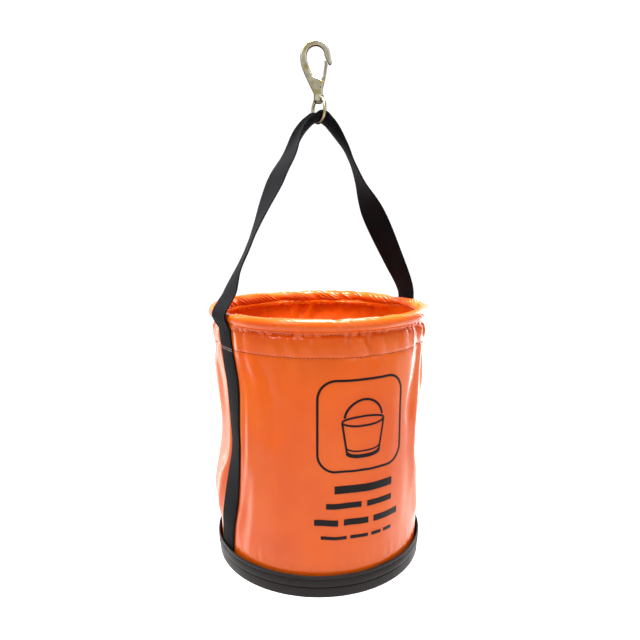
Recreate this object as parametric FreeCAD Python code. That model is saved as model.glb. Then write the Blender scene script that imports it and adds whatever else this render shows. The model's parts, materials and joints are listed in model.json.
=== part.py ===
import FreeCAD, Part
import math
import os

# Straight-walled vinyl tool bucket on a webbing handle with a swivel snap hook.
# Millimetres, +Z up.  The origin is the point where the load line meets the inside of
# the hook's bow, so the whole bucket hangs below it.  The hook lies in the XZ plane.
# The eye, the handle and the bucket are built with the handle in the XZ plane and then
# turned about Z by HANDLE_TURN.

V = FreeCAD.Vector
UP = V(0, 0, 1)
ALONG_Y = V(0, 1, 0)

# ---- driving dimensions: the bucket ----
BUCKET_RADIUS = 152.0  # outside of the vinyl wall
BUCKET_HEIGHT = 381.0  # underside of the pan to the top of the rim roll
VINYL_THICKNESS = 1.5
LAYER_GAP = 0.1  # between layers that are sewn together
HEM_DEPTH = 51.0  # top of the roll to the lower edge of the facing
HOOP_DIAMETER = 10.4
HOOP_BORE = 6.8
HOOP_GAP = 0.1  # hoop to the vinyl around it
NECK_DROP = 16.0  # centre of the hoop to where the two layers run straight
SPLICE_ANGLE = 24.0
SPLICE_GAP = 0.1
HOOP_END_GAP = 0.5

# ---- driving dimensions: the bottom pan ----
PAN_HEIGHT = 34.0
PAN_WALL = 2.4
PAN_FLOOR = 3.0
PAN_STEP = 1.0  # how far the upper band stands out from the lower one
PAN_STEP_HEIGHT = 17.0
PAN_EDGE_RADIUS = 6.0
PAN_INNER_RADIUS = 1.5
PAN_GAP = 0.2  # webbing to the inside of the pan

# ---- driving dimensions: webbing and thread ----
WEB_WIDTH = 38.0
WEB_THICKNESS = 2.0
HANDLE_TURN = 30.0
LAP_GAP = 0.4  # free leg to the sewn run at the rim
RUN_RISE = 8.0  # top of the sewn run above the centre of the hoop
LEG_LAP = 12.0  # bottom of the free leg below the centre of the hoop
LEG_UPRIGHT = 30.0  # upright stretch of the free leg above the centre of the hoop
ROLL_GAP = 0.3  # webbing to the roll
LEG_GAP = 0.3  # crown to the legs
LEG_BOW = 6.0  # how far the middle of a free leg stands out from a straight line
CROWN_ANGLE = 50.0  # half of the arc of the eye that the curled webbing covers
CROWN_DROP = 7.0  # how far the crown reaches down each side of the eye
THREAD_WIDTH = 0.9
THREAD_HEIGHT = 0.6
THREAD_GAP = 0.05
GATHER_ROW_DROP = 12.0  # upper hem row below the centre of the hoop
HEM_ROW_MARGIN = 3.0  # lower hem row above the edge of the facing
PAN_ROW_MARGIN = 6.0  # upper pan row below the pan's edge
PAN_ROW_LIFT = 1.5  # lower pan row above the step
EDGE_ROW_MARGIN = 4.0  # rows along the webbing from its edges

# ---- driving dimensions: the snap hook ----
BOW_RADIUS = 12.3  # inside of the bow
BOW_OFFSET = 4.0  # centre of the bow from the load line
BOW_OUTER_RADIUS = 20.6
BOW_OUTER_SHIFT = 0.6
BOW_OUTER_DROP = 1.9
HOOK_LENGTH = 62.0  # load point to the underside of the neck
HOOK_THICKNESS = 8.4
NECK_WIDTH = 11.2
HEEL_HEIGHT = 18.6  # corner of the heel above the underside of the neck
NOSE_LENGTH = 11.0  # nose below the centre of the bow
HOOK_ROUNDING = 1.8
PIVOT_HEIGHT = 9.6
PIVOT_OFFSET = 2.4
PIN_DIAMETER = 2.4
PIN_CLEARANCE = 0.05
GATE_WIDTH = 4.0
GATE_THICKNESS = 4.0
GATE_TIP_DROP = 7.0  # tip of the gate below the centre of the bow
GATE_GAP = 0.3
GATE_TRAVEL = 30.0
HUB_RADIUS = 3.6
SPRING_THICKNESS = 0.5
SPRING_WIDTH = 3.0

# ---- driving dimensions: the swivel ----
POST_DIAMETER = 6.0
POST_CLEARANCE = 0.05
POST_SEAT = 4.0
POST_HEAD_DIAMETER = 9.0
POST_HEAD_HEIGHT = 2.4
BOSS_DIAMETER = 13.6
BOSS_HEIGHT = 7.8
SWIVEL_GAP = 0.2
EYE_RADIUS = 16.5  # centre line of the ring
EYE_WIRE = 4.5
HANDLE_RISE = 259.0  # centre of the hoop to the centre of the wire at the foot of the eye

# ---- derived places ----
BOW_DROP = math.sqrt(BOW_RADIUS**2 - BOW_OFFSET**2)
NECK_Z = -HOOK_LENGTH
PIVOT = V(PIVOT_OFFSET, 0, NECK_Z + PIVOT_HEIGHT)
BOSS_TOP = NECK_Z - SWIVEL_GAP
BOSS_BOTTOM = BOSS_TOP - BOSS_HEIGHT
HEAD_TOP = BOSS_BOTTOM - SWIVEL_GAP
EYE_Z = BOSS_TOP - EYE_WIRE / 2 - EYE_RADIUS
FOOT_Z = EYE_Z - EYE_RADIUS  # centre of the wire that carries the webbing
HOOP_Z = FOOT_Z - HANDLE_RISE
CURL_RADIUS = HOOP_DIAMETER / 2 + HOOP_GAP  # inside of the vinyl round the hoop
ROLL_RADIUS = CURL_RADIUS + VINYL_THICKNESS
RIM_TOP = HOOP_Z + ROLL_RADIUS
BASE_Z = RIM_TOP - BUCKET_HEIGHT
WALL_INNER = BUCKET_RADIUS - VINYL_THICKNESS
FACING_OUTER = WALL_INNER - LAYER_GAP
FACING_INNER = FACING_OUTER - VINYL_THICKNESS
FACING_BOTTOM = RIM_TOP - HEM_DEPTH
WALL_BOTTOM = BASE_Z + PAN_FLOOR + PAN_INNER_RADIUS
RUN_INNER = BUCKET_RADIUS + LAYER_GAP
RUN_OUTER = RUN_INNER + WEB_THICKNESS
RUN_HALF_ANGLE = math.degrees(WEB_WIDTH / 2 / BUCKET_RADIUS)
RIM_RUN_INNER = BUCKET_RADIUS + ROLL_RADIUS + ROLL_GAP
RIM_RUN_OUTER = RIM_RUN_INNER + WEB_THICKNESS
RUN_TUCK_Z = HOOP_Z - 0.6 * ROLL_RADIUS  # where the sewn run starts back from the roll to the wall
LEG_MIDDLE = RIM_RUN_OUTER + LAP_GAP + WEB_THICKNESS / 2
CROWN_INNER = EYE_WIRE / 2 + ROLL_GAP
CROWN_OUTER = CROWN_INNER + WEB_THICKNESS
PAN_INNER = RUN_OUTER + PAN_GAP
PAN_OUTER = PAN_INNER + PAN_WALL + PAN_STEP
PAN_LOWER = PAN_OUTER - PAN_STEP


def polygon(points):
    """Flat face from (x, z) corners in the XZ plane."""
    corners = [V(x, 0, z) for x, z in points]
    return Part.Face(Part.makePolygon(corners + corners[:1]))


def outline(steps):
    """Flat face in the XZ plane; a step is a point, a (middle, end) arc or a list for a smooth curve."""
    start = steps[0]
    edges = []
    here = start
    for step in steps[1:] + [start]:
        if isinstance(step, list):
            end = step[-1]
            curve = Part.BSplineCurve()
            curve.interpolate([V(x, 0, z) for x, z in [here] + step])
            edges.append(curve.toShape())
        elif isinstance(step[0], tuple):
            middle, end = step
            arc = Part.Arc(V(here[0], 0, here[1]), V(middle[0], 0, middle[1]), V(end[0], 0, end[1]))
            edges.append(arc.toShape())
        else:
            end = step
            if end != here:
                edges.append(Part.LineSegment(V(here[0], 0, here[1]), V(end[0], 0, end[1])).toShape())
        here = end
    return Part.Face(Part.Wire(edges))


def slab(face, thickness):
    """Extrude a face of the XZ plane equally to both sides."""
    moved = face.translated(V(0, -thickness / 2, 0))
    return moved.extrude(V(0, thickness, 0))


def ribbon(points, thickness):
    """Face of a strip of even thickness whose middle follows (x, z) points, with mitred bends."""
    left, right = [], []
    for i, point in enumerate(points):
        before = points[max(i - 1, 0)]
        after = points[min(i + 1, len(points) - 1)]
        headings = []
        for a, b in ((before, point), (point, after)):
            if a != b:
                length = math.hypot(b[0] - a[0], b[1] - a[1])
                headings.append(((b[0] - a[0]) / length, (b[1] - a[1]) / length))
        first, last = headings[0], headings[-1]
        nx, nz = -(first[1] + last[1]), first[0] + last[0]
        scale = thickness / (nx * nx + nz * nz)
        left.append((point[0] + nx * scale, point[1] + nz * scale))
        right.append((point[0] - nx * scale, point[1] - nz * scale))
    return polygon(left + right[::-1])


def turned_section(face, angle=360.0, start=0.0):
    """Revolve a face of the XZ plane about Z, from the start angle."""
    placed = face.rotated(V(0, 0, 0), UP, start)
    return placed.revolve(V(0, 0, 0), UP, angle)


def ring_segment(inner, outer, bottom, top, start, angle):
    """Rectangular section revolved about Z."""
    face = polygon([(inner, bottom), (outer, bottom), (outer, top), (inner, top)])
    return turned_section(face, angle, start)


def rod(radius, start, direction, length):
    """Round bar."""
    return Part.makeCylinder(radius, length, start, direction)


def bow_point(radius, degrees, shift=0.0, drop=0.0):
    """Point on one of the bow's circles; 0 degrees is to the right."""
    a = math.radians(degrees)
    return (-BOW_OFFSET - shift + radius * math.cos(a), -BOW_DROP - drop + radius * math.sin(a))


def nose_points():
    """Inner notch, inner lip, lower lip and outer lip of the hook's nose."""
    inner_x = -BOW_OFFSET + BOW_RADIUS
    nose_z = -BOW_DROP - NOSE_LENGTH
    return (
        (inner_x + 1.7, -BOW_DROP - 0.36 * NOSE_LENGTH),
        (inner_x + 5.3, nose_z),
        (inner_x + 8.0, nose_z - 0.6),
        (inner_x + 9.4, nose_z + 2.0),
    )


def heel_points():
    """Right and left ends of the slope at the foot of the hook's opening."""
    return (
        (PIVOT_OFFSET + 2.2, NECK_Z + HEEL_HEIGHT),
        (PIVOT_OFFSET - 11.0, NECK_Z + HEEL_HEIGHT + 5.6),
    )


def hook_outline():
    """Side view of the hook: neck, heel, inside of the bow, nose, outside of the bow, spine."""
    half = NECK_WIDTH / 2
    notch, lip_inner, lip_low, lip_outer = nose_points()
    heel_right, heel_left = heel_points()
    inside = [bow_point(BOW_RADIUS, angle) for angle in range(180, -1, -30)]
    shift, drop = BOW_OUTER_SHIFT, BOW_OUTER_DROP
    outside = [bow_point(BOW_OUTER_RADIUS, angle, shift, drop) for angle in range(0, 181, 30)]
    limb = ((inside[0][0] * 0.55 + heel_left[0] * 0.45) - 1.2, (inside[0][1] + heel_left[1]) / 2)
    spine_top = outside[-1]
    spine = [
        (spine_top[0] + (-half - spine_top[0]) * across, spine_top[1] + (NECK_Z - spine_top[1]) * down)
        for across, down in ((0.18, 0.33), (0.5, 0.61), (0.83, 0.87))
    ]
    return outline([
        (half, NECK_Z),
        (half, PIVOT.z),
        (PIVOT_OFFSET + 4.6, NECK_Z + HEEL_HEIGHT - 2.4),
        heel_right,
        heel_left,
        [limb] + inside + [notch, lip_inner],
        lip_low,
        lip_outer,
        outside + spine + [(-half, NECK_Z)],
    ])


def gate_outline():
    """Side view of the gate: a lever from its hub up to the tip that shuts behind the nose."""
    notch, lip_inner, _, _ = nose_points()
    tip_z = -BOW_DROP - GATE_TIP_DROP
    share = (notch[1] - tip_z) / (notch[1] - lip_inner[1])
    tip_right = notch[0] + share * (lip_inner[0] - notch[0]) - GATE_GAP - 0.4
    shoulder = (lip_inner[0] - GATE_GAP - 1.2, lip_inner[1])
    middle = ((PIVOT.x + shoulder[0]) / 2 + GATE_WIDTH / 2 + 0.6, (PIVOT.z + shoulder[1]) / 2)
    return polygon([
        (PIVOT.x + HUB_RADIUS, PIVOT.z),
        middle,
        shoulder,
        (tip_right, tip_z),
        (tip_right - GATE_WIDTH * 0.8, tip_z),
        (shoulder[0] - GATE_WIDTH, shoulder[1]),
        (middle[0] - GATE_WIDTH, middle[1]),
        (PIVOT.x - HUB_RADIUS * 0.55, PIVOT.z + HUB_RADIUS),
        (PIVOT.x - HUB_RADIUS * 0.9, PIVOT.z),
    ])


def gate_slot():
    """Slot in the heel that the gate's foot turns in, open to the right and above."""
    reach = HEEL_HEIGHT + GATE_WIDTH * 2
    swing = math.radians(GATE_TRAVEL)
    width = GATE_THICKNESS + 2 * GATE_GAP
    left_x = PIVOT.x - reach * math.sin(swing) * 0.62 - HUB_RADIUS
    wedge = polygon([
        (PIVOT.x - HUB_RADIUS - GATE_GAP, PIVOT.z),
        (PIVOT.x + NECK_WIDTH, PIVOT.z),
        (PIVOT.x + NECK_WIDTH, PIVOT.z + reach),
        (left_x, PIVOT.z + reach),
    ])
    hub = rod(HUB_RADIUS + GATE_GAP, PIVOT - ALONG_Y * (width / 2), ALONG_Y, width)
    return slab(wedge, width).fuse(hub)


def rounded(solid, radius, keep=None):
    """Round every edge that the test keeps."""
    edges = [edge for edge in solid.Edges if keep is None or keep(edge)]
    return solid.makeFillet(radius, edges)


def flat_face_edge(edge):
    """True for the long edges of the hook's two flat faces above the neck's underside."""
    box = edge.BoundBox
    return box.YLength < 1e-6 and box.ZMax > NECK_Z + 1e-3


def snap_hook_body():
    body = rounded(slab(hook_outline(), HOOK_THICKNESS), HOOK_ROUNDING, flat_face_edge)
    body = body.cut(gate_slot())
    body = body.cut(rod(PIN_DIAMETER / 2, PIVOT - ALONG_Y * HOOK_THICKNESS, ALONG_Y, 2 * HOOK_THICKNESS))
    return body.cut(rod(POST_DIAMETER / 2, V(0, 0, NECK_Z - 1), UP, POST_SEAT + 1))


def gate():
    arm = slab(gate_outline(), GATE_THICKNESS)
    hub = rod(HUB_RADIUS, PIVOT - ALONG_Y * (GATE_THICKNESS / 2), ALONG_Y, GATE_THICKNESS)
    bore = rod(PIN_DIAMETER / 2 + PIN_CLEARANCE, PIVOT - ALONG_Y * GATE_THICKNESS, ALONG_Y, 2 * GATE_THICKNESS)
    return arm.fuse(hub).removeSplitter().cut(bore)


def gate_pin():
    return rod(PIN_DIAMETER / 2, PIVOT - ALONG_Y * (HOOK_THICKNESS / 2), ALONG_Y, HOOK_THICKNESS)


def gate_spring():
    """Hairpin leaf between the slot's back wall and the gate."""
    foot = (PIVOT.x - HUB_RADIUS * 0.95, PIVOT.z + HUB_RADIUS + 1.0)
    wall_end = (foot[0] - 1.6, foot[1] + 5.0)
    gate_end = (foot[0] + 3.0, foot[1] + 4.6)
    return slab(ribbon([wall_end, foot, gate_end], SPRING_THICKNESS), SPRING_WIDTH)


def swivel_post():
    """Rivet pressed into the neck, with its head inside the eye."""
    shank = rod(POST_DIAMETER / 2, V(0, 0, HEAD_TOP), UP, NECK_Z + POST_SEAT - HEAD_TOP)
    head = rod(POST_HEAD_DIAMETER / 2, V(0, 0, HEAD_TOP - POST_HEAD_HEIGHT), UP, POST_HEAD_HEIGHT)
    lower_rim = [e for e in head.Edges if e.BoundBox.ZMax < HEAD_TOP - POST_HEAD_HEIGHT + 1e-3]
    return shank.fuse(head.makeFillet(POST_HEAD_HEIGHT * 0.45, lower_rim)).removeSplitter()


def swivel_eye():
    """Ring whose plane is square to the handle, with the boss that turns on the post."""
    ring = Part.makeTorus(EYE_RADIUS, EYE_WIRE / 2, V(0, 0, EYE_Z), V(1, 0, 0))
    boss = rod(BOSS_DIAMETER / 2, V(0, 0, BOSS_BOTTOM), UP, BOSS_HEIGHT)
    bore = rod(POST_DIAMETER / 2 + POST_CLEARANCE, V(0, 0, BOSS_BOTTOM - 1), UP, BOSS_HEIGHT + 2)
    return ring.fuse(boss).cut(bore)


def strap_crown():
    """Middle of the webbing, curled into the foot of the eye and draped over its wire."""
    inner, outer = CROWN_INNER, CROWN_OUTER
    section = outline([
        (inner, 0),
        ((0, inner), (-inner, 0)),
        (-inner, -CROWN_DROP),
        (-outer, -CROWN_DROP),
        (-outer, 0),
        ((0, outer), (outer, 0)),
        (outer, -CROWN_DROP),
        (inner, -CROWN_DROP),
    ])
    placed = section.translated(V(0, 0, FOOT_Z))
    swept = placed.rotated(V(0, 0, EYE_Z), V(1, 0, 0), -CROWN_ANGLE)
    return swept.revolve(V(0, 0, EYE_Z), V(1, 0, 0), 2 * CROWN_ANGLE)


def strap_leg(side):
    """Free leg from beside the crown down to its lap over the sewn run, on side +1 or -1."""
    start = (CROWN_OUTER + LEG_GAP + WEB_THICKNESS / 2, FOOT_Z - CROWN_OUTER)
    bend = (LEG_MIDDLE, HOOP_Z + LEG_UPRIGHT)
    across, down = bend[0] - start[0], start[1] - bend[1]
    length = math.hypot(across, down)
    bowed = ((start[0] + bend[0]) / 2 + LEG_BOW * down / length, (start[1] + bend[1]) / 2 + LEG_BOW * across / length)
    points = [start, bowed, bend, (LEG_MIDDLE, HOOP_Z - LEG_LAP)]
    leg = slab(ribbon(points, WEB_THICKNESS), WEB_WIDTH)
    return leg if side > 0 else leg.rotated(V(0, 0, 0), UP, 180)


def side_start(side):
    """Angle of the middle of the webbing on side +1 or -1."""
    return 0.0 if side > 0 else 180.0


def strap_run(side):
    """Webbing sewn down the wall, from over the roll to the pan's floor."""
    middle = WEB_THICKNESS / 2
    points = [
        (RIM_RUN_INNER + middle, HOOP_Z + RUN_RISE),
        (RIM_RUN_INNER + middle, RUN_TUCK_Z),
        (RUN_INNER + middle, HOOP_Z - NECK_DROP),
        (RUN_INNER + middle, WALL_BOTTOM),
    ]
    face = ribbon(points, WEB_THICKNESS)
    return turned_section(face, 2 * RUN_HALF_ANGLE, side_start(side) - RUN_HALF_ANGLE)


def vinyl_wall():
    """One sheet: up the wall, round the hoop and down inside as the facing."""
    neck_z = HOOP_Z - NECK_DROP
    half_gap = LAYER_GAP / 2
    outer_drop = math.sqrt(ROLL_RADIUS**2 - (half_gap + VINYL_THICKNESS) ** 2)
    inner_drop = math.sqrt(CURL_RADIUS**2 - half_gap**2)
    outer_start = (BUCKET_RADIUS + half_gap + VINYL_THICKNESS, HOOP_Z - outer_drop)
    outer_end = (BUCKET_RADIUS - half_gap - VINYL_THICKNESS, HOOP_Z - outer_drop)
    inner_start = (BUCKET_RADIUS - half_gap, HOOP_Z - inner_drop)
    inner_end = (BUCKET_RADIUS + half_gap, HOOP_Z - inner_drop)
    return turned_section(outline([
        (BUCKET_RADIUS, WALL_BOTTOM),
        (BUCKET_RADIUS, neck_z),
        outer_start,
        ((BUCKET_RADIUS, HOOP_Z + ROLL_RADIUS), outer_end),
        (FACING_INNER, neck_z),
        (FACING_INNER, FACING_BOTTOM),
        (FACING_OUTER, FACING_BOTTOM),
        (FACING_OUTER, neck_z),
        inner_start,
        ((BUCKET_RADIUS, HOOP_Z + CURL_RADIUS), inner_end),
        (WALL_INNER, neck_z),
        (WALL_INNER, WALL_BOTTOM),
    ]))


def hoop_arc(radius, angle):
    """Round bar bent to the rim's circle, centred on the back of the bucket."""
    circle = Part.Wire(Part.makeCircle(radius, V(BUCKET_RADIUS, 0, HOOP_Z), ALONG_Y))
    return turned_section(Part.Face(circle), angle, 90 - angle / 2)


def rim_hoop():
    """Tube whose two ends meet over the splice."""
    tube = hoop_arc(HOOP_DIAMETER / 2, 360).cut(hoop_arc(HOOP_BORE / 2, 360))
    gap = Part.makeBox(HOOP_END_GAP, HOOP_DIAMETER * 2, HOOP_DIAMETER * 2)
    gap.translate(V(-HOOP_END_GAP / 2, BUCKET_RADIUS - HOOP_DIAMETER, HOOP_Z - HOOP_DIAMETER))
    return tube.cut(gap)


def hoop_splice():
    return hoop_arc(HOOP_BORE / 2 - SPLICE_GAP, SPLICE_ANGLE)


def bottom_pan():
    """Moulded dish with a thicker upper band and a rounded lower edge."""
    edge = PAN_EDGE_RADIUS
    bend = edge * (1 - math.sqrt(0.5))
    return turned_section(outline([
        (0.0, BASE_Z),
        (PAN_LOWER - edge, BASE_Z),
        ((PAN_LOWER - bend, BASE_Z + bend), (PAN_LOWER, BASE_Z + edge)),
        (PAN_LOWER, BASE_Z + PAN_STEP_HEIGHT - PAN_STEP),
        (PAN_OUTER, BASE_Z + PAN_STEP_HEIGHT),
        (PAN_OUTER, BASE_Z + PAN_HEIGHT - PAN_STEP),
        (PAN_OUTER - PAN_STEP, BASE_Z + PAN_HEIGHT),
        (PAN_INNER, BASE_Z + PAN_HEIGHT),
        (PAN_INNER, BASE_Z + PAN_FLOOR + PAN_INNER_RADIUS),
        (PAN_INNER - PAN_INNER_RADIUS, BASE_Z + PAN_FLOOR),
        (0.0, BASE_Z + PAN_FLOOR),
    ]))


def neck_radius(z):
    """Outside of the vinyl where it leans out under the roll."""
    top = HOOP_Z - math.sqrt(ROLL_RADIUS**2 - (LAYER_GAP / 2 + VINYL_THICKNESS) ** 2)
    share = (z - (HOOP_Z - NECK_DROP)) / (top - (HOOP_Z - NECK_DROP))
    return BUCKET_RADIUS + max(share, 0.0) * (LAYER_GAP / 2 + VINYL_THICKNESS)


def run_radius(z):
    """Outside of the sewn webbing at a height, on the wall or where it leans out to the roll."""
    foot_z, top_z = HOOP_Z - NECK_DROP, RUN_TUCK_Z
    lean = math.atan2(RIM_RUN_INNER - RUN_INNER, top_z - foot_z)
    middle = RUN_INNER + WEB_THICKNESS / 2 + max(z - foot_z, 0.0) * math.tan(lean)
    return middle + WEB_THICKNESS / 2 / math.cos(lean)


def hem_row(z):
    """Thread round the wall, stepping out over the webbing on both sides."""
    half = THREAD_WIDTH / 2
    wall = neck_radius(z + half) + THREAD_GAP
    over = run_radius(z + half) + THREAD_GAP
    solids = []
    for side in (1, -1):
        middle = side_start(side)
        gap = RUN_HALF_ANGLE + 0.3
        solids.append(ring_segment(wall, wall + THREAD_HEIGHT, z - half, z + half, middle + gap, 180 - 2 * gap))
        sewn = RUN_HALF_ANGLE - 0.3
        solids.append(ring_segment(over, over + THREAD_HEIGHT, z - half, z + half, middle - sewn, 2 * sewn))
    return Part.makeCompound(solids)


def pan_row(z, radius):
    """Thread all round the outside of the pan."""
    half = THREAD_WIDTH / 2
    return ring_segment(radius + THREAD_GAP, radius + THREAD_GAP + THREAD_HEIGHT, z - half, z + half, 0, 360)


def strap_thread(side):
    """Two rows along the edges of the sewn webbing, between the hem and the pan."""
    top = FACING_BOTTOM - HEM_ROW_MARGIN
    bottom = BASE_Z + PAN_HEIGHT + HEM_ROW_MARGIN
    inner = RUN_OUTER + THREAD_GAP
    offset = math.degrees((WEB_WIDTH / 2 - EDGE_ROW_MARGIN) / BUCKET_RADIUS)
    width = math.degrees(THREAD_WIDTH / BUCKET_RADIUS)
    rows = []
    for lean in (1, -1):
        start = side_start(side) + lean * offset - width / 2
        rows.append(ring_segment(inner, inner + THREAD_HEIGHT, bottom, top, start, width))
    return Part.makeCompound(rows)


def turn_with_handle(shape):
    """Turn a shape from the XZ plane into the handle's plane."""
    return shape.rotated(V(0, 0, 0), UP, HANDLE_TURN)


def hook_nodes():
    """Pieces that keep the hook's own heading."""
    return {
        "snap_hook_body": snap_hook_body(),
        "gate": gate(),
        "gate_pin": gate_pin(),
        "gate_spring": gate_spring(),
        "swivel_post": swivel_post(),
    }


def handle_nodes():
    """Pieces that are turned with the handle."""
    nodes = {
        "swivel_eye": swivel_eye(),
        "strap_crown": strap_crown(),
        "vinyl_wall": vinyl_wall(),
        "rim_hoop": rim_hoop(),
        "hoop_splice": hoop_splice(),
        "bottom_pan": bottom_pan(),
        "hem_thread_upper": hem_row(HOOP_Z - GATHER_ROW_DROP),
        "hem_thread_lower": hem_row(FACING_BOTTOM + HEM_ROW_MARGIN),
        "pan_thread_upper": pan_row(BASE_Z + PAN_HEIGHT - PAN_ROW_MARGIN, PAN_OUTER),
        "pan_thread_lower": pan_row(BASE_Z + PAN_STEP_HEIGHT + PAN_ROW_LIFT, PAN_OUTER),
    }
    for name, side in (("right", 1), ("left", -1)):
        nodes["strap_leg_" + name] = strap_leg(side)
        nodes["strap_run_" + name] = strap_run(side)
        nodes["strap_thread_" + name] = strap_thread(side)
    return {name: turn_with_handle(shape) for name, shape in nodes.items()}


def main():
    os.makedirs("parts", exist_ok=True)
    nodes = hook_nodes()
    nodes.update(handle_nodes())
    for name, shape in nodes.items():
        box = shape.BoundBox
        print(name, "valid" if shape.isValid() else "NOT VALID", len(shape.Solids), round(shape.Volume, 1),
              [round(v, 1) for v in (box.XMin, box.XMax, box.YMin, box.YMax, box.ZMin, box.ZMax)])
        shape.exportStep("parts/" + name + ".step")
    print("pivot", PIVOT, "foot", FOOT_Z, "hoop", HOOP_Z, "rim", RIM_TOP, "base", BASE_Z)


main()
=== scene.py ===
# A tool bucket of orange coated vinyl, hanging by a webbing handle from a swivel snap hook.
# The hook and the eye keep their engineered solids and get a metal finish here.  The vinyl,
# the pan, the webbing, every stitch and the printed badge are built below.

import json
import logging
import math
from dataclasses import dataclass, field
from enum import Enum
from typing import NamedTuple

import bpy
import numpy as np
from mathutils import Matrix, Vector


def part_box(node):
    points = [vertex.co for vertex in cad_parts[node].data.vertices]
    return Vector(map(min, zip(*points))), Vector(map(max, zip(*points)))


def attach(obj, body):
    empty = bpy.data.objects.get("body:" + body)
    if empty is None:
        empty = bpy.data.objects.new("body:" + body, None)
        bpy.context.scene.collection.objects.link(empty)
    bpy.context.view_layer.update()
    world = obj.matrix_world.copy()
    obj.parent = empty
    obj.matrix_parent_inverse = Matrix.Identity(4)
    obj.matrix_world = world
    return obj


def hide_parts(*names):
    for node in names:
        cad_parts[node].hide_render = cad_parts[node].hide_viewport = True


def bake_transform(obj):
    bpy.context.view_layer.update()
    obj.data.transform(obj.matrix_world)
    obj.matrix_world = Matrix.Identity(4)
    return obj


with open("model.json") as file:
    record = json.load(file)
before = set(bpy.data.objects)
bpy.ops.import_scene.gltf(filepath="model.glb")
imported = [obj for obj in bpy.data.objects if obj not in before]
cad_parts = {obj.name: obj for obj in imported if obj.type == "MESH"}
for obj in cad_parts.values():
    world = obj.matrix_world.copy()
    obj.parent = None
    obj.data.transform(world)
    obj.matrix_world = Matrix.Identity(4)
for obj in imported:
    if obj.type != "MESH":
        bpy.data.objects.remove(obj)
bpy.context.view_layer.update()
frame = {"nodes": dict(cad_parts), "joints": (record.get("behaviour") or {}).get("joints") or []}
LOG = logging.getLogger("tool_bucket")
MM = 0.001
SKIRT_LAP = 1.7 * MM  # how far the gathering row stands out from the wall, on the roll's skirt
Knots = tuple[tuple[float, float], ...]
Stops = tuple[tuple[float, str], ...]
Tree = bpy.types.NodeTree
Socket = bpy.types.NodeSocket
Piece = bpy.types.Object


class Side(Enum):
    """The two places where the webbing is sewn to the wall."""

    RIGHT = "right"
    LEFT = "left"


class Body(Enum):
    """The moving bodies that new pieces ride on."""

    EYE = "eye"
    HANDLE = "handle"
    BUCKET = "bucket"


# ---------------------------------------------------------------- small shared helpers


def smooth(x: np.ndarray, low: float, high: float) -> np.ndarray:
    """Ease from 0 at low to 1 at high.

    Args:
        x: Values to ease.
        low: Where the result starts to rise.
        high: Where it reaches 1; it may be below low for a falling ramp.

    Returns:
        Values between 0 and 1 with level ends.
    """
    t = np.clip((np.asarray(x, float) - low) / (high - low), 0.0, 1.0)
    return t * t * (3.0 - 2.0 * t)


def soft_knots(x: np.ndarray, knots: Knots, blur: float) -> np.ndarray:
    """Read a list of (place, value) knots with its corners rounded off.

    Args:
        x: Places to read at.
        knots: Pairs in rising order of place.
        blur: Half the width that each corner is rounded over.

    Returns:
        The rounded values, in the knots' own units.
    """
    places, values = zip(*knots)
    offsets = np.linspace(-blur, blur, 9)
    weights = np.cos(offsets / blur * math.pi / 2.2)
    x = np.asarray(x, float)
    total = sum(w * np.interp(x + o, places, values) for o, w in zip(offsets, weights))
    return total / weights.sum()


@dataclass(frozen=True)
class Ripples:
    """Waves round the bucket that close on themselves and never change between runs.

    Args:
        seed: Picks one set of waves.
        fewest: Fewest waves round the bucket.
        most: Most waves round the bucket.
        step: Gap between the wave counts that are used.
        drift: How far the waves lean with height, in radians per metre.
    """

    seed: int
    fewest: int
    most: int
    step: int = 1
    drift: float = 6.0

    def __call__(self, angle: np.ndarray, height: np.ndarray) -> np.ndarray:
        """Return the summed waves, mostly between -1 and 1.

        Args:
            angle: Angles about the bucket's axis in radians.
            height: Heights in metres, or any second coordinate that the waves lean with.

        Returns:
            The waves' height at each place.
        """
        rng = np.random.default_rng(self.seed)
        counts = np.arange(self.fewest, self.most + 1, self.step)
        total = np.zeros(np.broadcast(angle, height).shape)
        power = 0.0
        for count in counts:
            phase, lean, weight = rng.uniform(0, math.tau), rng.normal(0, self.drift), rng.uniform(0.5, 1)
            total += weight * np.cos(count * angle + phase + lean * height)
            power += weight * weight
        return total / math.sqrt(power * 2)


def wrapped(angle: np.ndarray) -> np.ndarray:
    """Bring angles in radians between -pi and pi."""
    return (np.asarray(angle) + math.pi) % math.tau - math.pi


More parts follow.
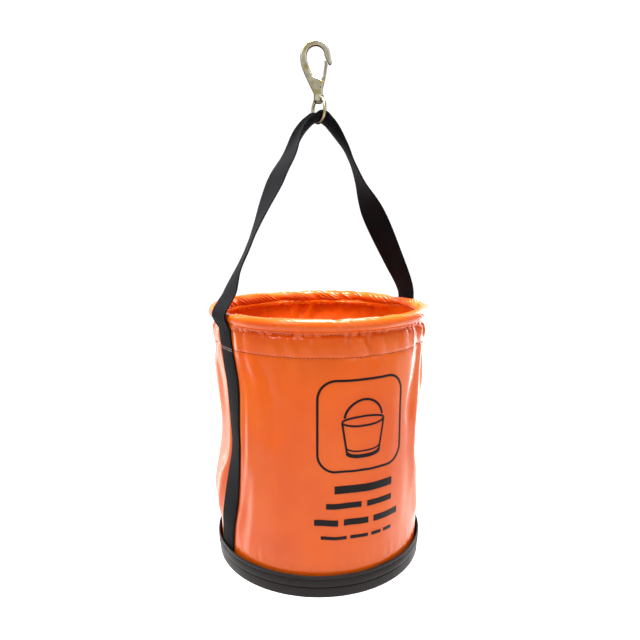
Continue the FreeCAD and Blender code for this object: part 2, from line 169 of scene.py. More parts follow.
def ring_mesh(
    name: str,
    rings: np.ndarray,
    closed: bool,
    uv: np.ndarray | None = None,
    sharp: float = 40.0,
) -> Piece:
    """Skin a row of closed rings of points.

    Args:
        name: Name of the piece.
        rings: Array of (rings, points, 3) places in metres.
        closed: True when the last ring joins the first; otherwise both ends are capped.
        uv: Array of (rings, points, 2) that a woven pattern follows, in metres.
        sharp: Edges turned by more than this many degrees are shaded sharp.

    Returns:
        The finished object with its faces pointing outwards.
    """
    count, around, _ = rings.shape
    index = np.arange(count * around).reshape(count, around)
    after = np.roll(index, -1, axis=0) if closed else index[1:]
    first = index if closed else index[:-1]
    quads = np.stack([first, np.roll(first, -1, 1), np.roll(after, -1, 1), after], -1).reshape(-1, 4)
    points = rings.reshape(-1, 3)
    a, b, c, d = (points[quads[:, i]] for i in range(4))
    volume = (np.cross(a, b) * c).sum() + (np.cross(a, c) * d).sum()
    faces = quads.tolist()
    if not closed:
        faces += [index[0][::-1].tolist(), index[-1].tolist()]
    if volume < 0:
        faces = [face[::-1] for face in faces]
    mesh = bpy.data.meshes.new(name)
    mesh.from_pydata(points.tolist(), [], faces)
    mesh.polygons.foreach_set("use_smooth", np.ones(len(faces), bool))
    mesh.set_sharp_from_angle(angle=math.radians(sharp))
    if uv is not None:
        corners = np.empty(len(mesh.loops), np.int32)
        mesh.loops.foreach_get("vertex_index", corners)
        layer = mesh.uv_layers.new(name="Weave")
        layer.data.foreach_set("uv", uv.reshape(-1, 2)[corners].ravel())
    mesh.update()
    piece = bpy.data.objects.new(name, mesh)
    bpy.context.scene.collection.objects.link(piece)
    return piece


def revolve(name: str, angles: np.ndarray, radius: np.ndarray, height: np.ndarray) -> Piece:
    """Skin a closed section that goes all round the bucket's axis.

    Args:
        name: Name of the piece.
        angles: Angles of the sections in radians.
        radius: Array of (angles, section points) radii in metres.
        height: Array of (angles, section points) heights in metres.

    Returns:
        The closed piece.
    """
    around = angles[:, None]
    rings = np.stack([radius * np.cos(around), radius * np.sin(around), height], -1)
    return ring_mesh(name, rings, closed=True)


def dress(piece: Piece, finish: "Finish") -> None:
    """Give every face of a piece one finish.

    Args:
        piece: The piece to dress.
        finish: Its finish, which also names the record's material slot.
    """
    piece.data.materials.clear()
    piece.data.materials.append(finish.material())


# ---------------------------------------------------------------- finishes


def linear(code: str) -> tuple[float, float, float, float]:
    """Turn an sRGB hex colour such as #E8641E into linear red, green, blue and alpha."""
    parts = [int(code[i : i + 2], 16) / 255 for i in (1, 3, 5)]
    return (*[p / 12.92 if p <= 0.04045 else ((p + 0.055) / 1.055) ** 2.4 for p in parts], 1.0)


def add(tree: Tree, kind: str, links: dict | None = None, **settings: object) -> bpy.types.Node:
    """Add a node with its settings and inputs.

    Args:
        tree: Tree that gets the node.
        kind: Blender's name for the kind of node.
        links: Inputs by name or number; a socket is linked and anything else is a value.
        settings: Properties of the node itself.

    Returns:
        The new node.
    """
    node = tree.nodes.new(kind)
    for key, value in settings.items():
        setattr(node, key, value)
    for key, value in (links or {}).items():
        if isinstance(value, bpy.types.NodeSocket):
            tree.links.new(value, node.inputs[key])
        else:
            node.inputs[key].default_value = value
    return node


@dataclass(frozen=True)
class Finish:
    """Base of every finish: one material, made once and shared.

    Args:
        name: What the real material is.
        slot: The record's material slot that it stands for.
    """

    name: str
    slot: str

    def material(self) -> bpy.types.Material:
        """Make the material on first use.

        Returns:
            The one material that every piece of this finish shares.
        """
        found = bpy.data.materials.get(self.name)
        if found:
            return found
        made = bpy.data.materials.new(self.name)
        made.use_nodes = True
        self.build(made.node_tree, made.node_tree.nodes["Principled BSDF"])
        return made

    def build(self, tree: Tree, shader: bpy.types.Node) -> None:
        """Wire the finish's own nodes into the shader."""
        raise NotImplementedError

    def noise(self, tree: Tree, place: Socket, grain: float, detail: float = 3.0) -> Socket:
        """Return noise whose blobs are about grain metres across.

        Args:
            tree: Tree that gets the node.
            place: Where the noise is read.
            grain: Size of a blob in metres.
            detail: Number of finer layers.

        Returns:
            The noise's value, around 0.5.
        """
        node = add(tree, "ShaderNodeTexNoise", {"Vector": place, "Scale": 1 / grain, "Detail": detail})
        return node.outputs["Fac"]

    def tint(self, tree: Tree, value: Socket, stops: Stops) -> Socket:
        """Turn a value into colour through a list of stops.

        Args:
            tree: Tree that gets the node.
            value: Socket between 0 and 1.
            stops: Pairs of place and sRGB hex colour.

        Returns:
            The colour socket.
        """
        ramp = add(tree, "ShaderNodeValToRGB", {"Fac": value})
        elements = ramp.color_ramp.elements
        while len(elements) < len(stops):
            elements.new(0.5)
        for element, (place, code) in zip(elements, stops):
            element.position = place
            element.color = linear(code)
        return ramp.outputs["Color"]

    def spread(self, tree: Tree, value: Socket, low: float, high: float) -> Socket:
        """Stretch noise from its usual 0.3 to 0.7 onto another range.

        Args:
            tree: Tree that gets the node.
            value: The noise.
            low: What 0.3 becomes.
            high: What 0.7 becomes.

        Returns:
            The stretched value's socket.
        """
        links = {"Value": value, "From Min": 0.3, "From Max": 0.7, "To Min": low, "To Max": high}
        return add(tree, "ShaderNodeMapRange", links).outputs["Result"]

    def bump(self, tree: Tree, height: Socket, depth: float, below: Socket | None = None) -> Socket:
        """Turn a height into relief.

        Args:
            tree: Tree that gets the node.
            height: Socket with the height, 0 to 1.
            depth: Depth of the relief in metres.
            below: Normal of other relief that this one lies on.

        Returns:
            The normal's socket.
        """
        links = {"Height": height, "Distance": depth, "Strength": 1.0}
        if below:
            links["Normal"] = below
        return add(tree, "ShaderNodeBump", links).outputs["Normal"]


@dataclass(frozen=True)
class CoatedVinyl(Finish):
    """PVC-coated polyester: a thick glossy skin over a woven scrim that just shows through."""

    base: str = "#F0640E"
    deep: str = "#E85A0C"
    pale: str = "#F37018"
    roughness: float = 0.19

    def build(self, tree: Tree, shader: bpy.types.Node) -> None:
        """Wire soft colour clouds, calender grain and the scrim's faint weave.

        Args:
            tree: The material's tree.
            shader: Its surface shader.
        """
        place = add(tree, "ShaderNodeTexCoord").outputs["Object"]
        clouds = self.noise(tree, place, 0.09, 2.0)
        stops = ((0.25, self.deep), (0.5, self.base), (0.78, self.pale))
        tree.links.new(self.tint(tree, clouds, stops), shader.inputs["Base Color"])
        rub = self.noise(tree, place, 0.03, 4.0)
        gloss = self.spread(tree, rub, self.roughness - 0.04, self.roughness + 0.07)
        tree.links.new(gloss, shader.inputs["Roughness"])
        dents = self.bump(tree, self.noise(tree, place, 0.03, 2.0), 0.8 * MM)
        # The scrim is 1.1 mm yarn; its relief through the coating is a few hundredths.
        grain = self.bump(tree, self.noise(tree, place, 1.1 * MM, 1.0), 0.05 * MM, dents)
        tree.links.new(grain, shader.inputs["Normal"])
        shader.inputs["IOR"].default_value = 1.53
        shader.inputs["Specular IOR Level"].default_value = 0.42
        shader.inputs["Subsurface Weight"].default_value = 0.08
        shader.inputs["Subsurface Radius"].default_value = (0.006, 0.002, 0.001)
        shader.inputs["Subsurface Scale"].default_value = 0.5


@dataclass(frozen=True)
class NylonWebbing(Finish):
    """Woven nylon webbing: fine cross ribs with a soft sheen along them."""

    yarn: str = "#131317"
    worn: str = "#26262E"
    rib: float = 1.3 * MM
    strand: float = 1.9 * MM

    def build(self, tree: Tree, shader: bpy.types.Node) -> None:
        """Wire ribs that follow the webbing's own map, with a little lint and wear.

        Args:
            tree: The material's tree.
            shader: Its surface shader.
        """
        map_node = add(tree, "ShaderNodeUVMap", uv_map="Weave")
        split = add(tree, "ShaderNodeSeparateXYZ", {"Vector": map_node.outputs["UV"]})
        across, along = split.outputs["X"], split.outputs["Y"]
        # Real ribs are 0.8 mm apart; they are drawn at 1.3 mm so that they show.
        ribs = self.wave(tree, along, self.rib)
        strands = self.wave(tree, across, self.strand)
        weave = add(tree, "ShaderNodeMath", {0: ribs, 1: strands}, operation="MULTIPLY").outputs[0]
        place = add(tree, "ShaderNodeTexCoord").outputs["Object"]
        clouds = self.noise(tree, place, 0.02, 3.0)
        mix = add(tree, "ShaderNodeMath", {0: weave, 1: clouds}, operation="MULTIPLY_ADD")
        mix.inputs[2].default_value = 0.1
        stops = ((0.15, "#09090B"), (0.45, self.yarn), (0.85, self.worn))
        tree.links.new(self.tint(tree, mix.outputs[0], stops), shader.inputs["Base Color"])
        tree.links.new(self.bump(tree, weave, 0.35 * MM), shader.inputs["Normal"])
        shader.inputs["Roughness"].default_value = 0.85
        shader.inputs["Specular IOR Level"].default_value = 0.12
        shader.inputs["Sheen Weight"].default_value = 0.02
        shader.inputs["Sheen Roughness"].default_value = 0.4
        shader.inputs["Sheen Tint"].default_value = linear("#9A9CB4")

    def wave(self, tree: Tree, value: Socket, pitch: float) -> Socket:
        """Turn a length into an even wave.

        Args:
            tree: Tree that gets the nodes.
            value: Socket with a length in metres.
            pitch: Length of one wave in metres.

        Returns:
            The wave's socket, 0 to 1.
        """
        turn = add(tree, "ShaderNodeMath", {0: value, 1: math.tau / pitch}, operation="MULTIPLY").outputs[0]
        sine = add(tree, "ShaderNodeMath", {0: turn}, operation="SINE").outputs[0]
        return add(tree, "ShaderNodeMath", {0: sine, 1: 0.5, 2: 0.5}, operation="MULTIPLY_ADD").outputs[0]


@dataclass(frozen=True)
class MouldedPolymer(Finish):
    """Injection-moulded polypropylene: matt, finely grained, scuffed a little lighter."""

    base: str = "#1A1311"
    scuff: str = "#282120"

    def build(self, tree: Tree, shader: bpy.types.Node) -> None:
        """Wire the mould's fine grain and soft scuffs.

        Args:
            tree: The material's tree.
            shader: Its surface shader.
        """
        place = add(tree, "ShaderNodeTexCoord").outputs["Object"]
        clouds = self.noise(tree, place, 0.025, 5.0)
        stops = ((0.3, self.base), (0.75, self.scuff))
        tree.links.new(self.tint(tree, clouds, stops), shader.inputs["Base Color"])
        tree.links.new(self.spread(tree, clouds, 0.46, 0.6), shader.inputs["Roughness"])
        # Spark-eroded grain of about 0.6 mm.
        grain = self.noise(tree, place, 0.6 * MM, 2.0)
        tree.links.new(self.bump(tree, grain, 0.06 * MM), shader.inputs["Normal"])
        shader.inputs["IOR"].default_value = 1.49
        shader.inputs["Specular IOR Level"].default_value = 0.3


@dataclass(frozen=True)
class PolishedCasting(Finish):
    """Cast brass under pale nickel, with painted reflection: faces turned along Y, towards the camera, are
    drawn bright and metallic, and edges turned across it dark brown and dull.
    """

    base: str = "#E6DFC0"
    warm: str = "#C9B880"
    # Painted dark reflection on the edges that turn away from the camera's Y axis.
    edge: str = "#2E1F0E"
    roughness: float = 0.24

    def build(self, tree: Tree, shader: bpy.types.Node) -> None:
        """Wire tumbled relief, worn tints and the painted dark reflection on the edges.

        Args:
            tree: The material's tree.
            shader: Its surface shader.
        """
        coordinates = add(tree, "ShaderNodeTexCoord")
        place = coordinates.outputs["Object"]
        clouds = self.noise(tree, place, 0.012, 1.0)
        flats = self.tint(tree, clouds, ((0.3, self.warm), (0.5, self.base), (0.8, "#DDD6BC")))
        # Painted reflection: faces that turn along Y, towards the camera, are drawn bright and metallic, and
        # the edges dark brown and dull.
        facing = add(tree, "ShaderNodeSeparateXYZ", {"Vector": coordinates.outputs["Normal"]}).outputs["Y"]
        toward_camera_y = add(tree, "ShaderNodeMath", {0: facing}, operation="ABSOLUTE").outputs[0]
        painted_reflection_mask = add(tree, "ShaderNodeMapRange", {"Value": toward_camera_y}, interpolation_type="SMOOTHSTEP")
        painted_reflection_mask.inputs["From Min"].default_value = 0.4
        painted_reflection_mask.inputs["From Max"].default_value = 0.97
        mix = add(tree, "ShaderNodeMix", {"Factor": painted_reflection_mask.outputs["Result"]}, data_type="RGBA")
        # Sockets 6, 7 and 2 are the node's colour ones.
        mix.inputs[6].default_value = linear(self.edge)
        tree.links.new(flats, mix.inputs[7])
        tree.links.new(mix.outputs[2], shader.inputs["Base Color"])
        rub = self.noise(tree, place, 0.008, 1.0)
        gloss = self.spread(tree, rub, self.roughness - 0.03, self.roughness + 0.1)
        tree.links.new(gloss, shader.inputs["Roughness"])
        # Tumbling leaves waves of a few millimetres on the casting.
        waves = self.bump(tree, self.noise(tree, place, 0.007, 1.0), 0.08 * MM)
        tree.links.new(waves, shader.inputs["Normal"])
        # The painted reflection also sets the metal: only faces towards the camera are metallic.
        tree.links.new(painted_reflection_mask.outputs["Result"], shader.inputs["Metallic"])
        shader.inputs["Specular IOR Level"].default_value = 0.0


@dataclass(frozen=True)
class DrawnSteel(Finish):
    """Drawn steel wire or rod with a thin plate."""

    base: str = "#8E8F92"
    dark: str = "#5C5D61"
    roughness: float = 0.3

    def build(self, tree: Tree, shader: bpy.types.Node) -> None:
        """Wire fine drawing streaks.

        Args:
            tree: The material's tree.
            shader: Its surface shader.
        """
        place = add(tree, "ShaderNodeTexCoord").outputs["Object"]
        streaks = self.noise(tree, place, 0.0015, 4.0)
        stops = ((0.3, self.dark), (0.7, self.base))
        tree.links.new(self.tint(tree, streaks, stops), shader.inputs["Base Color"])
        gloss = self.spread(tree, streaks, self.roughness, self.roughness + 0.12)
        tree.links.new(gloss, shader.inputs["Roughness"])
        shader.inputs["Metallic"].default_value = 1.0


@dataclass(frozen=True)
class SewingThread(Finish):
    """Bonded sewing thread: twisted, slightly waxy."""

    # The default colours are the thread's brown, darkened with painted shade from its needle holes.
    base: str = "#5E1A06"
    light: str = "#86300F"

    def build(self, tree: Tree, shader: bpy.types.Node) -> None:
        """Wire the twist as fine noise along the stitches.

        Args:
            tree: The material's tree.
            shader: Its surface shader.
        """
        place = add(tree, "ShaderNodeTexCoord").outputs["Object"]
        twist = self.noise(tree, place, 0.8 * MM, 2.0)
        stops = ((0.35, self.base), (0.7, self.light))
        tree.links.new(self.tint(tree, twist, stops), shader.inputs["Base Color"])
        tree.links.new(self.bump(tree, twist, 0.1 * MM), shader.inputs["Normal"])
        shader.inputs["Roughness"].default_value = 0.6
        shader.inputs["Specular IOR Level"].default_value = 0.2


@dataclass(frozen=True)
class ScreenInk(Finish):
    """Screen-printed vinyl ink: a thin black film, a little less glossy than the vinyl."""

    base: str = "#0B0807"
    thin: str = "#150E0B"

    def build(self, tree: Tree, shader: bpy.types.Node) -> None:
        """Wire slight unevenness of the film.

        Args:
            tree: The material's tree.
            shader: Its surface shader.
        """
        place = add(tree, "ShaderNodeTexCoord").outputs["Object"]
        film = self.noise(tree, place, 0.003, 4.0)
        stops = ((0.4, self.base), (0.8, self.thin))
        tree.links.new(self.tint(tree, film, stops), shader.inputs["Base Color"])
        tree.links.new(self.spread(tree, film, 0.34, 0.46), shader.inputs["Roughness"])
        shader.inputs["Specular IOR Level"].default_value = 0.22


VINYL = CoatedVinyl("pvc_coated_polyester", "coated_vinyl")
WEBBING = NylonWebbing("woven_nylon_webbing", "nylon_webbing")
POLYMER = MouldedPolymer("moulded_polypropylene", "pan_polymer")
CASTING = PolishedCasting("nickel_tinted_brass_casting", "cast_brass")
PIN_STEEL = DrawnSteel("plated_steel_pin", "hardened_steel")
SPRING_STEEL = DrawnSteel("blued_spring_steel", "spring_steel", base="#4A4D55", dark="#2A2C31")
SHADED_HEM_THREAD = SewingThread("brown_thread_painted_hole_shade", "bonded_thread_brown")
# The hem thread is brown. On the vinyl it is drawn darker, with painted shade from its needle holes. On the
# black webbing the same thread is drawn paler, as a lit copy, so that its fine rows show.
LIT_THREAD_COPY = SewingThread("brown_thread_painted_lit_copy", "bonded_thread_brown", "#B98C80", "#E0BDB2")
BLACK_THREAD = SewingThread("black_bonded_thread", "bonded_thread_black", "#100E0E", "#242122")
INK = ScreenInk("black_screen_ink", "coated_vinyl")


# ---------------------------------------------------------------- the shape that all pieces share


@dataclass(frozen=True)
class Plan:
    """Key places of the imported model, in metres.

    Args:
        base: Underside of the pan.
        pan_top: Top edge of the pan.
        pan_radius: Outside of the pan.
        hoop: Height of the middle of the rim hoop.
        hoop_radius: Radius of the middle of the rim hoop.
        roll: Radius of the vinyl round the hoop.
        gather: Height of the gathering row under the roll.
        hem: Height of the lower hem row.
        facing: Lower edge of the facing inside.
        foot: Middle of the eye's wire where it carries the webbing.
        turn: Heading of the handle's plane in radians.
    """

    base: float
    pan_top: float
    pan_radius: float
    hoop: float
    hoop_radius: float
    roll: float
    gather: float
    hem: float
    facing: float
    foot: float
    turn: float

    @classmethod
    def from_frame(cls) -> "Plan":
        """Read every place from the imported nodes.

        Returns:
            The plan of this model.
        """
        pan_low, pan_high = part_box("bottom_pan")
        hoop_low, hoop_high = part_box("rim_hoop")
        _, wall_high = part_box("vinyl_wall")
        gather_low, gather_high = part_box("hem_thread_upper")
        hem_low, hem_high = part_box("hem_thread_lower")
        joints = {joint["name"]: joint for joint in frame["joints"]}
        tip_axis = joints["bucket_tip"]["axis"]
        foot = joints["handle_rock"]["pos_m"][2]
        hoop = (hoop_low.z + hoop_high.z) / 2
        hem = (hem_low.z + hem_high.z) / 2
        return cls(
            base=pan_low.z,
            pan_top=pan_high.z,
            pan_radius=pan_high.x,
            hoop=hoop,
            hoop_radius=hoop_high.x - (hoop_high.z - hoop_low.z) / 2,
            roll=wall_high.z - hoop,
            gather=(gather_low.z + gather_high.z) / 2,
            hem=hem,
            facing=hem - 9.0 * MM,
            foot=foot,
            turn=math.atan2(tip_axis[1], tip_axis[0]),
        )


@dataclass(frozen=True)
class StrapLine:
    """Where one sewn run wanders on the wall.

    Args:
        side: Which of the two runs it is.
        sway: Knots of height above the base in metres and degrees off the handle's plane.
        lean: Knots of height above the base in metres and degrees that the webbing tilts.
    """

    side: Side
    sway: Knots
    lean: Knots
    half_width: float = 19.0 * MM

    def angle(self, plan: Plan, z: np.ndarray) -> np.ndarray:
        """Return the heading of the webbing's middle at heights z, in radians."""
        start = plan.turn + (math.pi if self.side is Side.LEFT else 0.0)
        return start + np.radians(soft_knots(np.asarray(z) - plan.base, self.sway, 0.018))

    def tilt(self, plan: Plan, z: np.ndarray) -> np.ndarray:
        """Return the tangent of the webbing's tilt at heights z."""
        return np.tan(np.radians(soft_knots(np.asarray(z) - plan.base, self.lean, 0.02)))


LEFT_LINE = StrapLine(
    Side.LEFT,
    sway=((0.0, -1.2), (0.035, -1.0), (0.05, -0.2), (0.073, 1.5), (0.1, 4.1), (0.125, 6.0), (0.15, 7.8),
          (0.175, 10.3), (0.2, 12.0), (0.25, 12.2), (0.27, 12.0), (0.29, 11.2), (0.315, 7.0), (0.337, 5.1),
          (0.36, 3.7), (0.42, 3.0)),
    lean=((0.0, 0.0), (0.035, -1.5), (0.1, -3.0), (0.125, 1.0), (0.15, 8.0), (0.175, 17.0), (0.2, 20.0),
          (0.224, 18.5), (0.25, 15.5), (0.27, 12.0), (0.29, 9.5), (0.315, 5.6), (0.337, 4.5), (0.365, 0.0)),
)
RIGHT_LINE = StrapLine(
    Side.RIGHT,
    sway=((0.0, 0.0), (0.05, -0.5), (0.12, -3.5), (0.2, -6.0), (0.28, -4.0), (0.34, -1.5), (0.42, 0.0)),
    lean=((0.0, 0.0), (0.06, 0.0), (0.13, -8.0), (0.22, -13.0), (0.3, -9.0), (0.34, -4.0), (0.365, 0.0)),
)


@dataclass(frozen=True)
class Fold:
    """One long fold in the vinyl.

    Args:
        course: Knots of height above the base in metres and heading in degrees.
        depth: How far it stands out, in metres; below 0 it is a valley.
        wide: Half its width in degrees.
    """

    course: Knots
    depth: float
    wide: float

    def relief(self, angle: np.ndarray, h: np.ndarray) -> np.ndarray:
        """Work out how far the fold lifts the wall.

        Args:
            angle: Angles in radians.
            h: Heights above the base in metres.

        Returns:
            Heights of the fold in metres.
        """
        low, high = self.course[0][0], self.course[-1][0]
        middle = soft_knots(h, self.course, 0.012)
        aside = np.degrees(wrapped(angle - np.radians(middle))) / self.wide
        ends = smooth(h, low, low + 0.035) * smooth(h, high, high - 0.03)
        return self.depth * np.exp(-np.abs(aside) ** 1.7) * ends


@dataclass(frozen=True)
class WallShape:
    """The outside of the vinyl wall: a cylinder that gathers, billows and carries the webbing."""

    plan: Plan
    lines: tuple[StrapLine, ...] = (RIGHT_LINE, LEFT_LINE)
    billow: float = 2.6 * MM
    crease: float = 1.3 * MM
    pucker: float = 2.0 * MM
    hem_puff: float = 1.3 * MM
    # Broad dents and bulges: heading in degrees, height above the base, depth, both spreads.
    dents: tuple[tuple[float, float, float, float, float], ...] = (
        (-2.0, 0.184, -14.5, 17.0, 0.044),
        (0.0, 0.345, 5.0, 17.0, 0.026),
        (0.0, 0.262, 2.0, 17.0, 0.03),
        (187.0, 0.215, -13.5, 15.0, 0.052),
        (182.0, 0.108, 5.0, 16.0, 0.036),
        (178.0, 0.345, 2.5, 12.0, 0.03),
        (-60.0, 0.20, 1.5, 40.0, 0.12),
        (120.0, 0.15, 3.0, 25.0, 0.07),
        (75.0, 0.24, -3.5, 20.0, 0.08),
    )

    folds: tuple[Fold, ...] = (
        Fold(((0.05, -16.0), (0.11, -22.0), (0.18, -30.0), (0.25, -25.0), (0.32, -17.0), (0.36, -14.0)),
             4.6 * MM, 5.0),
        Fold(((0.08, -8.0), (0.15, -14.0), (0.21, -20.0), (0.28, -14.0), (0.35, -6.0)), -5.2 * MM, 5.0),
        Fold(((0.21, -36.0), (0.26, -33.0), (0.31, -25.0), (0.36, -21.0)), -3.2 * MM, 4.0),
        Fold(((0.04, 2.0), (0.12, -3.0), (0.22, -7.0), (0.3, -2.0), (0.36, 3.0)), 3.0 * MM, 4.5),
        Fold(((0.18, 241.0), (0.24, 242.0), (0.3, 240.0), (0.345, 231.0)), 3.5 * MM, 3.6),
        Fold(((0.2, 247.5), (0.27, 248.0), (0.33, 240.0)), -2.6 * MM, 3.4),
        Fold(((0.03, 229.0), (0.09, 232.0), (0.15, 236.0), (0.2, 238.0)), 2.3 * MM, 4.0),
        Fold(((0.06, 186.0), (0.14, 191.0), (0.2, 197.0), (0.26, 200.0), (0.33, 196.0)), 4.1 * MM, 4.0),
        Fold(((0.1, 178.0), (0.18, 184.0), (0.24, 190.0), (0.3, 191.0), (0.36, 186.0)), -4.1 * MM, 4.0),
        Fold(((0.05, 196.0), (0.12, 201.0), (0.17, 206.0)), 2.9 * MM, 3.5),
        Fold(((0.08, 60.0), (0.2, 66.0), (0.33, 61.0)), 3.8 * MM, 5.0),
        Fold(((0.1, 118.0), (0.2, 112.0), (0.34, 120.0)), -3.8 * MM, 6.0),
        Fold(((0.06, 150.0), (0.2, 146.0), (0.32, 153.0)), 3.5 * MM, 5.0),
    )

    def strap_weight(
        self, line: StrapLine, angle: np.ndarray, z: np.ndarray
    ) -> tuple[np.ndarray, np.ndarray]:
        """Say how firmly the webbing holds the wall.

        Args:
            line: The run to look at.
            angle: Angles in radians.
            z: Heights in metres.

        Returns:
            The sideways distance from the webbing's middle in metres, and a weight that is 1
            under the webbing and fades to 0 beside it.
        """
        aside = wrapped(angle - line.angle(self.plan, z)) * self.plan.hoop_radius
        reach = np.abs(aside)
        return aside, smooth(reach, line.half_width + 16 * MM, line.half_width + 1 * MM)

    def strap_base(self, line: StrapLine, z: np.ndarray) -> np.ndarray:
        """Work out the wall's radius under the webbing's middle.

        Args:
            line: The run that lies on it.
            z: Heights in metres.

        Returns:
            Radii in metres.
        """
        h = np.asarray(z) - self.plan.base
        sway = 1.6 * MM * np.sin(h * 31.0 + (0.0 if line.side is Side.LEFT else 2.0))
        return self.plan.hoop_radius + sway * smooth(h, 0.04, 0.09) * smooth(h, 0.35, 0.31)

    def radius(self, angle: np.ndarray, z: np.ndarray) -> np.ndarray:
        """Return the radius of the wall's outside.

        Args:
            angle: Angles in radians.
            z: Heights in metres.

        Returns:
            Radii in metres.
        """
        plan = self.plan
        angle, z = np.broadcast_arrays(np.asarray(angle, float), np.asarray(z, float))
        h = z - plan.base
        level = np.zeros_like(z)
        free = smooth(h, 0.036, 0.10)
        below_hem = smooth(z, plan.hem + 12 * MM, plan.hem - 20 * MM)
        slow = Ripples(3, 3, 9, drift=9.0)(angle, z) * self.billow * free * (0.35 + 0.65 * below_hem)
        folds = Ripples(11, 14, 34, 2, drift=14.0)(angle, z)
        patch = smooth(Ripples(17, 2, 6, drift=12.0)(angle, z), -0.1, 0.9)
        creases = folds * self.crease * free * (0.25 + patch)
        puff = np.clip((z - plan.hem) / (plan.gather - plan.hem), 0.0, 1.0)
        hem = self.hem_puff * np.sin(math.pi * puff) * (z > plan.hem)
        near_row = np.exp(-np.abs(z - plan.gather) / (7 * MM))
        gathers = Ripples(5, 26, 56, 3, drift=26.0)(angle, z)
        uneven = 0.6 + 0.6 * smooth(Ripples(8, 3, 11)(angle, level), -0.3, 0.6)
        puckers = -self.pucker * np.exp(-((gathers / 0.42) ** 2)) * near_row * uneven
        hem_row = np.exp(-(((z - plan.hem) / (2.2 * MM)) ** 2))
        tug = -0.7 * MM * hem_row * (1 + 0.5 * Ripples(21, 90, 150, 7)(angle, level))
        row_pinch = -2.6 * MM * np.exp(-(((z - plan.gather) / (3.4 * MM)) ** 2))
        broad = np.zeros_like(h)
        for heading, level, depth, wide, tall in self.dents:
            turn = np.degrees(wrapped(angle - math.radians(heading)))
            broad += depth * MM * np.exp(-((turn / wide) ** 2) - ((h - level) / tall) ** 2) * free
        for fold in self.folds:
            broad += fold.relief(angle, h)
        pan_pucker = 0.5 * MM * Ripples(31, 40, 90, 5)(angle, z) * np.exp(-(((h - 0.045) / 0.012) ** 2))
        slanted = Ripples(37, 20, 44, 3, drift=16.0)(angle + 1.6 * z, z)
        drawn = smooth(z, plan.hem - 22 * MM, plan.gather - 6 * MM)
        drawn = drawn * smooth(z, plan.gather + 1 * MM, plan.gather - 5 * MM)
        hem_folds = 2.3 * MM * slanted * drawn * uneven
        loose = slow + creases + hem + hem_folds + puckers + tug + row_pinch + broad + pan_pucker
        shape = plan.hoop_radius + loose
        for line in self.lines:
            aside, held = self.strap_weight(line, angle, z)
            beside = np.clip(aside, -line.half_width - 3 * MM, line.half_width + 3 * MM)
            raised = line.tilt(plan, z) * beside
            fade = smooth(np.abs(aside), line.half_width + 45 * MM, line.half_width + 4 * MM)
            shape = shape + raised * fade * (1 - held)
            shape = shape * (1 - held) + (self.strap_base(line, z) + raised) * held
            # Vinyl swells a little where it comes out from under the webbing's edges.
            swell = np.exp(-(((np.abs(aside) - line.half_width - 11 * MM) / (7 * MM)) ** 2))
            shape = shape + 1.8 * MM * swell * free * smooth(z, plan.gather, plan.hem - 10 * MM)
        return shape

    def point(self, angle: np.ndarray, z: np.ndarray, out: float) -> np.ndarray:
        """Return places a distance outside the wall.

        Args:
            angle: Angles in radians.
            z: Heights in metres.
            out: Distance from the wall in metres.

        Returns:
            Array of places with the last axis x, y, z.
        """
        r = self.radius(angle, z) + out
        angle, z = np.broadcast_arrays(angle, z)
        return np.stack([r * np.cos(angle), r * np.sin(angle), z], -1)


# ---------------------------------------------------------------- bucket


@dataclass
class VinylWall:
    """The wall sheet with its facing inside, from the pan's floor to the gathering row."""

    shape: WallShape
    sections: int = 660
    sheet: float = 1.3 * MM
    facing_sheet: float = 1.3 * MM
    tuck: float = 3.0 * MM

    def heights(self) -> tuple[np.ndarray, np.ndarray]:
        """List the heights that the sheet's section goes through.

        Returns:
            The outside heights going up and the inside heights coming down, in metres.
        """
        plan = self.shape.plan
        low = plan.base + 4.6 * MM
        body = np.linspace(low, plan.hem - 8 * MM, 62)
        hem = np.linspace(plan.hem - 6.5 * MM, plan.gather + self.tuck, 34)
        inside = np.concatenate([
            np.linspace(plan.gather + self.tuck, plan.facing, 16),
            np.linspace(plan.facing - 1.5 * MM, low, 24),
        ])
        return np.concatenate([body, hem]), inside

    def build(self) -> list[Piece]:
        """Skin the sheet as one closed shell and hide the plain solid.

        Returns:
            The finished sheet, alone in a list.
        """
        plan = self.shape.plan
        up, down = self.heights()
        angles = np.linspace(0, math.tau, self.sections, endpoint=False)
        around = angles[:, None]
        outside = self.shape.radius(around, up[None, :])
        layers = self.sheet + self.facing_sheet * smooth(down, plan.facing - 1.2 * MM, plan.facing + 0.2 * MM)
        inner_waves = Ripples(41, 50, 110, 5, drift=30.0)(around, down[None, :])
        near_roll = np.exp(-np.abs(down - plan.gather) / (14 * MM))
        gathered = 0.9 * MM * np.abs(inner_waves) * near_roll
        inside = self.shape.radius(around, down[None, :]) - layers - gathered
        inside = np.minimum(inside, plan.hoop_radius + 6 * MM)
        radius = np.concatenate([outside, inside], 1)
        height = np.broadcast_to(np.concatenate([up, down]), radius.shape)
        piece = revolve("vinyl_wall_sheet", angles, radius, height)
        dress(piece, VINYL)
        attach(piece, Body.BUCKET.value)
        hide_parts("vinyl_wall")
        return [piece]


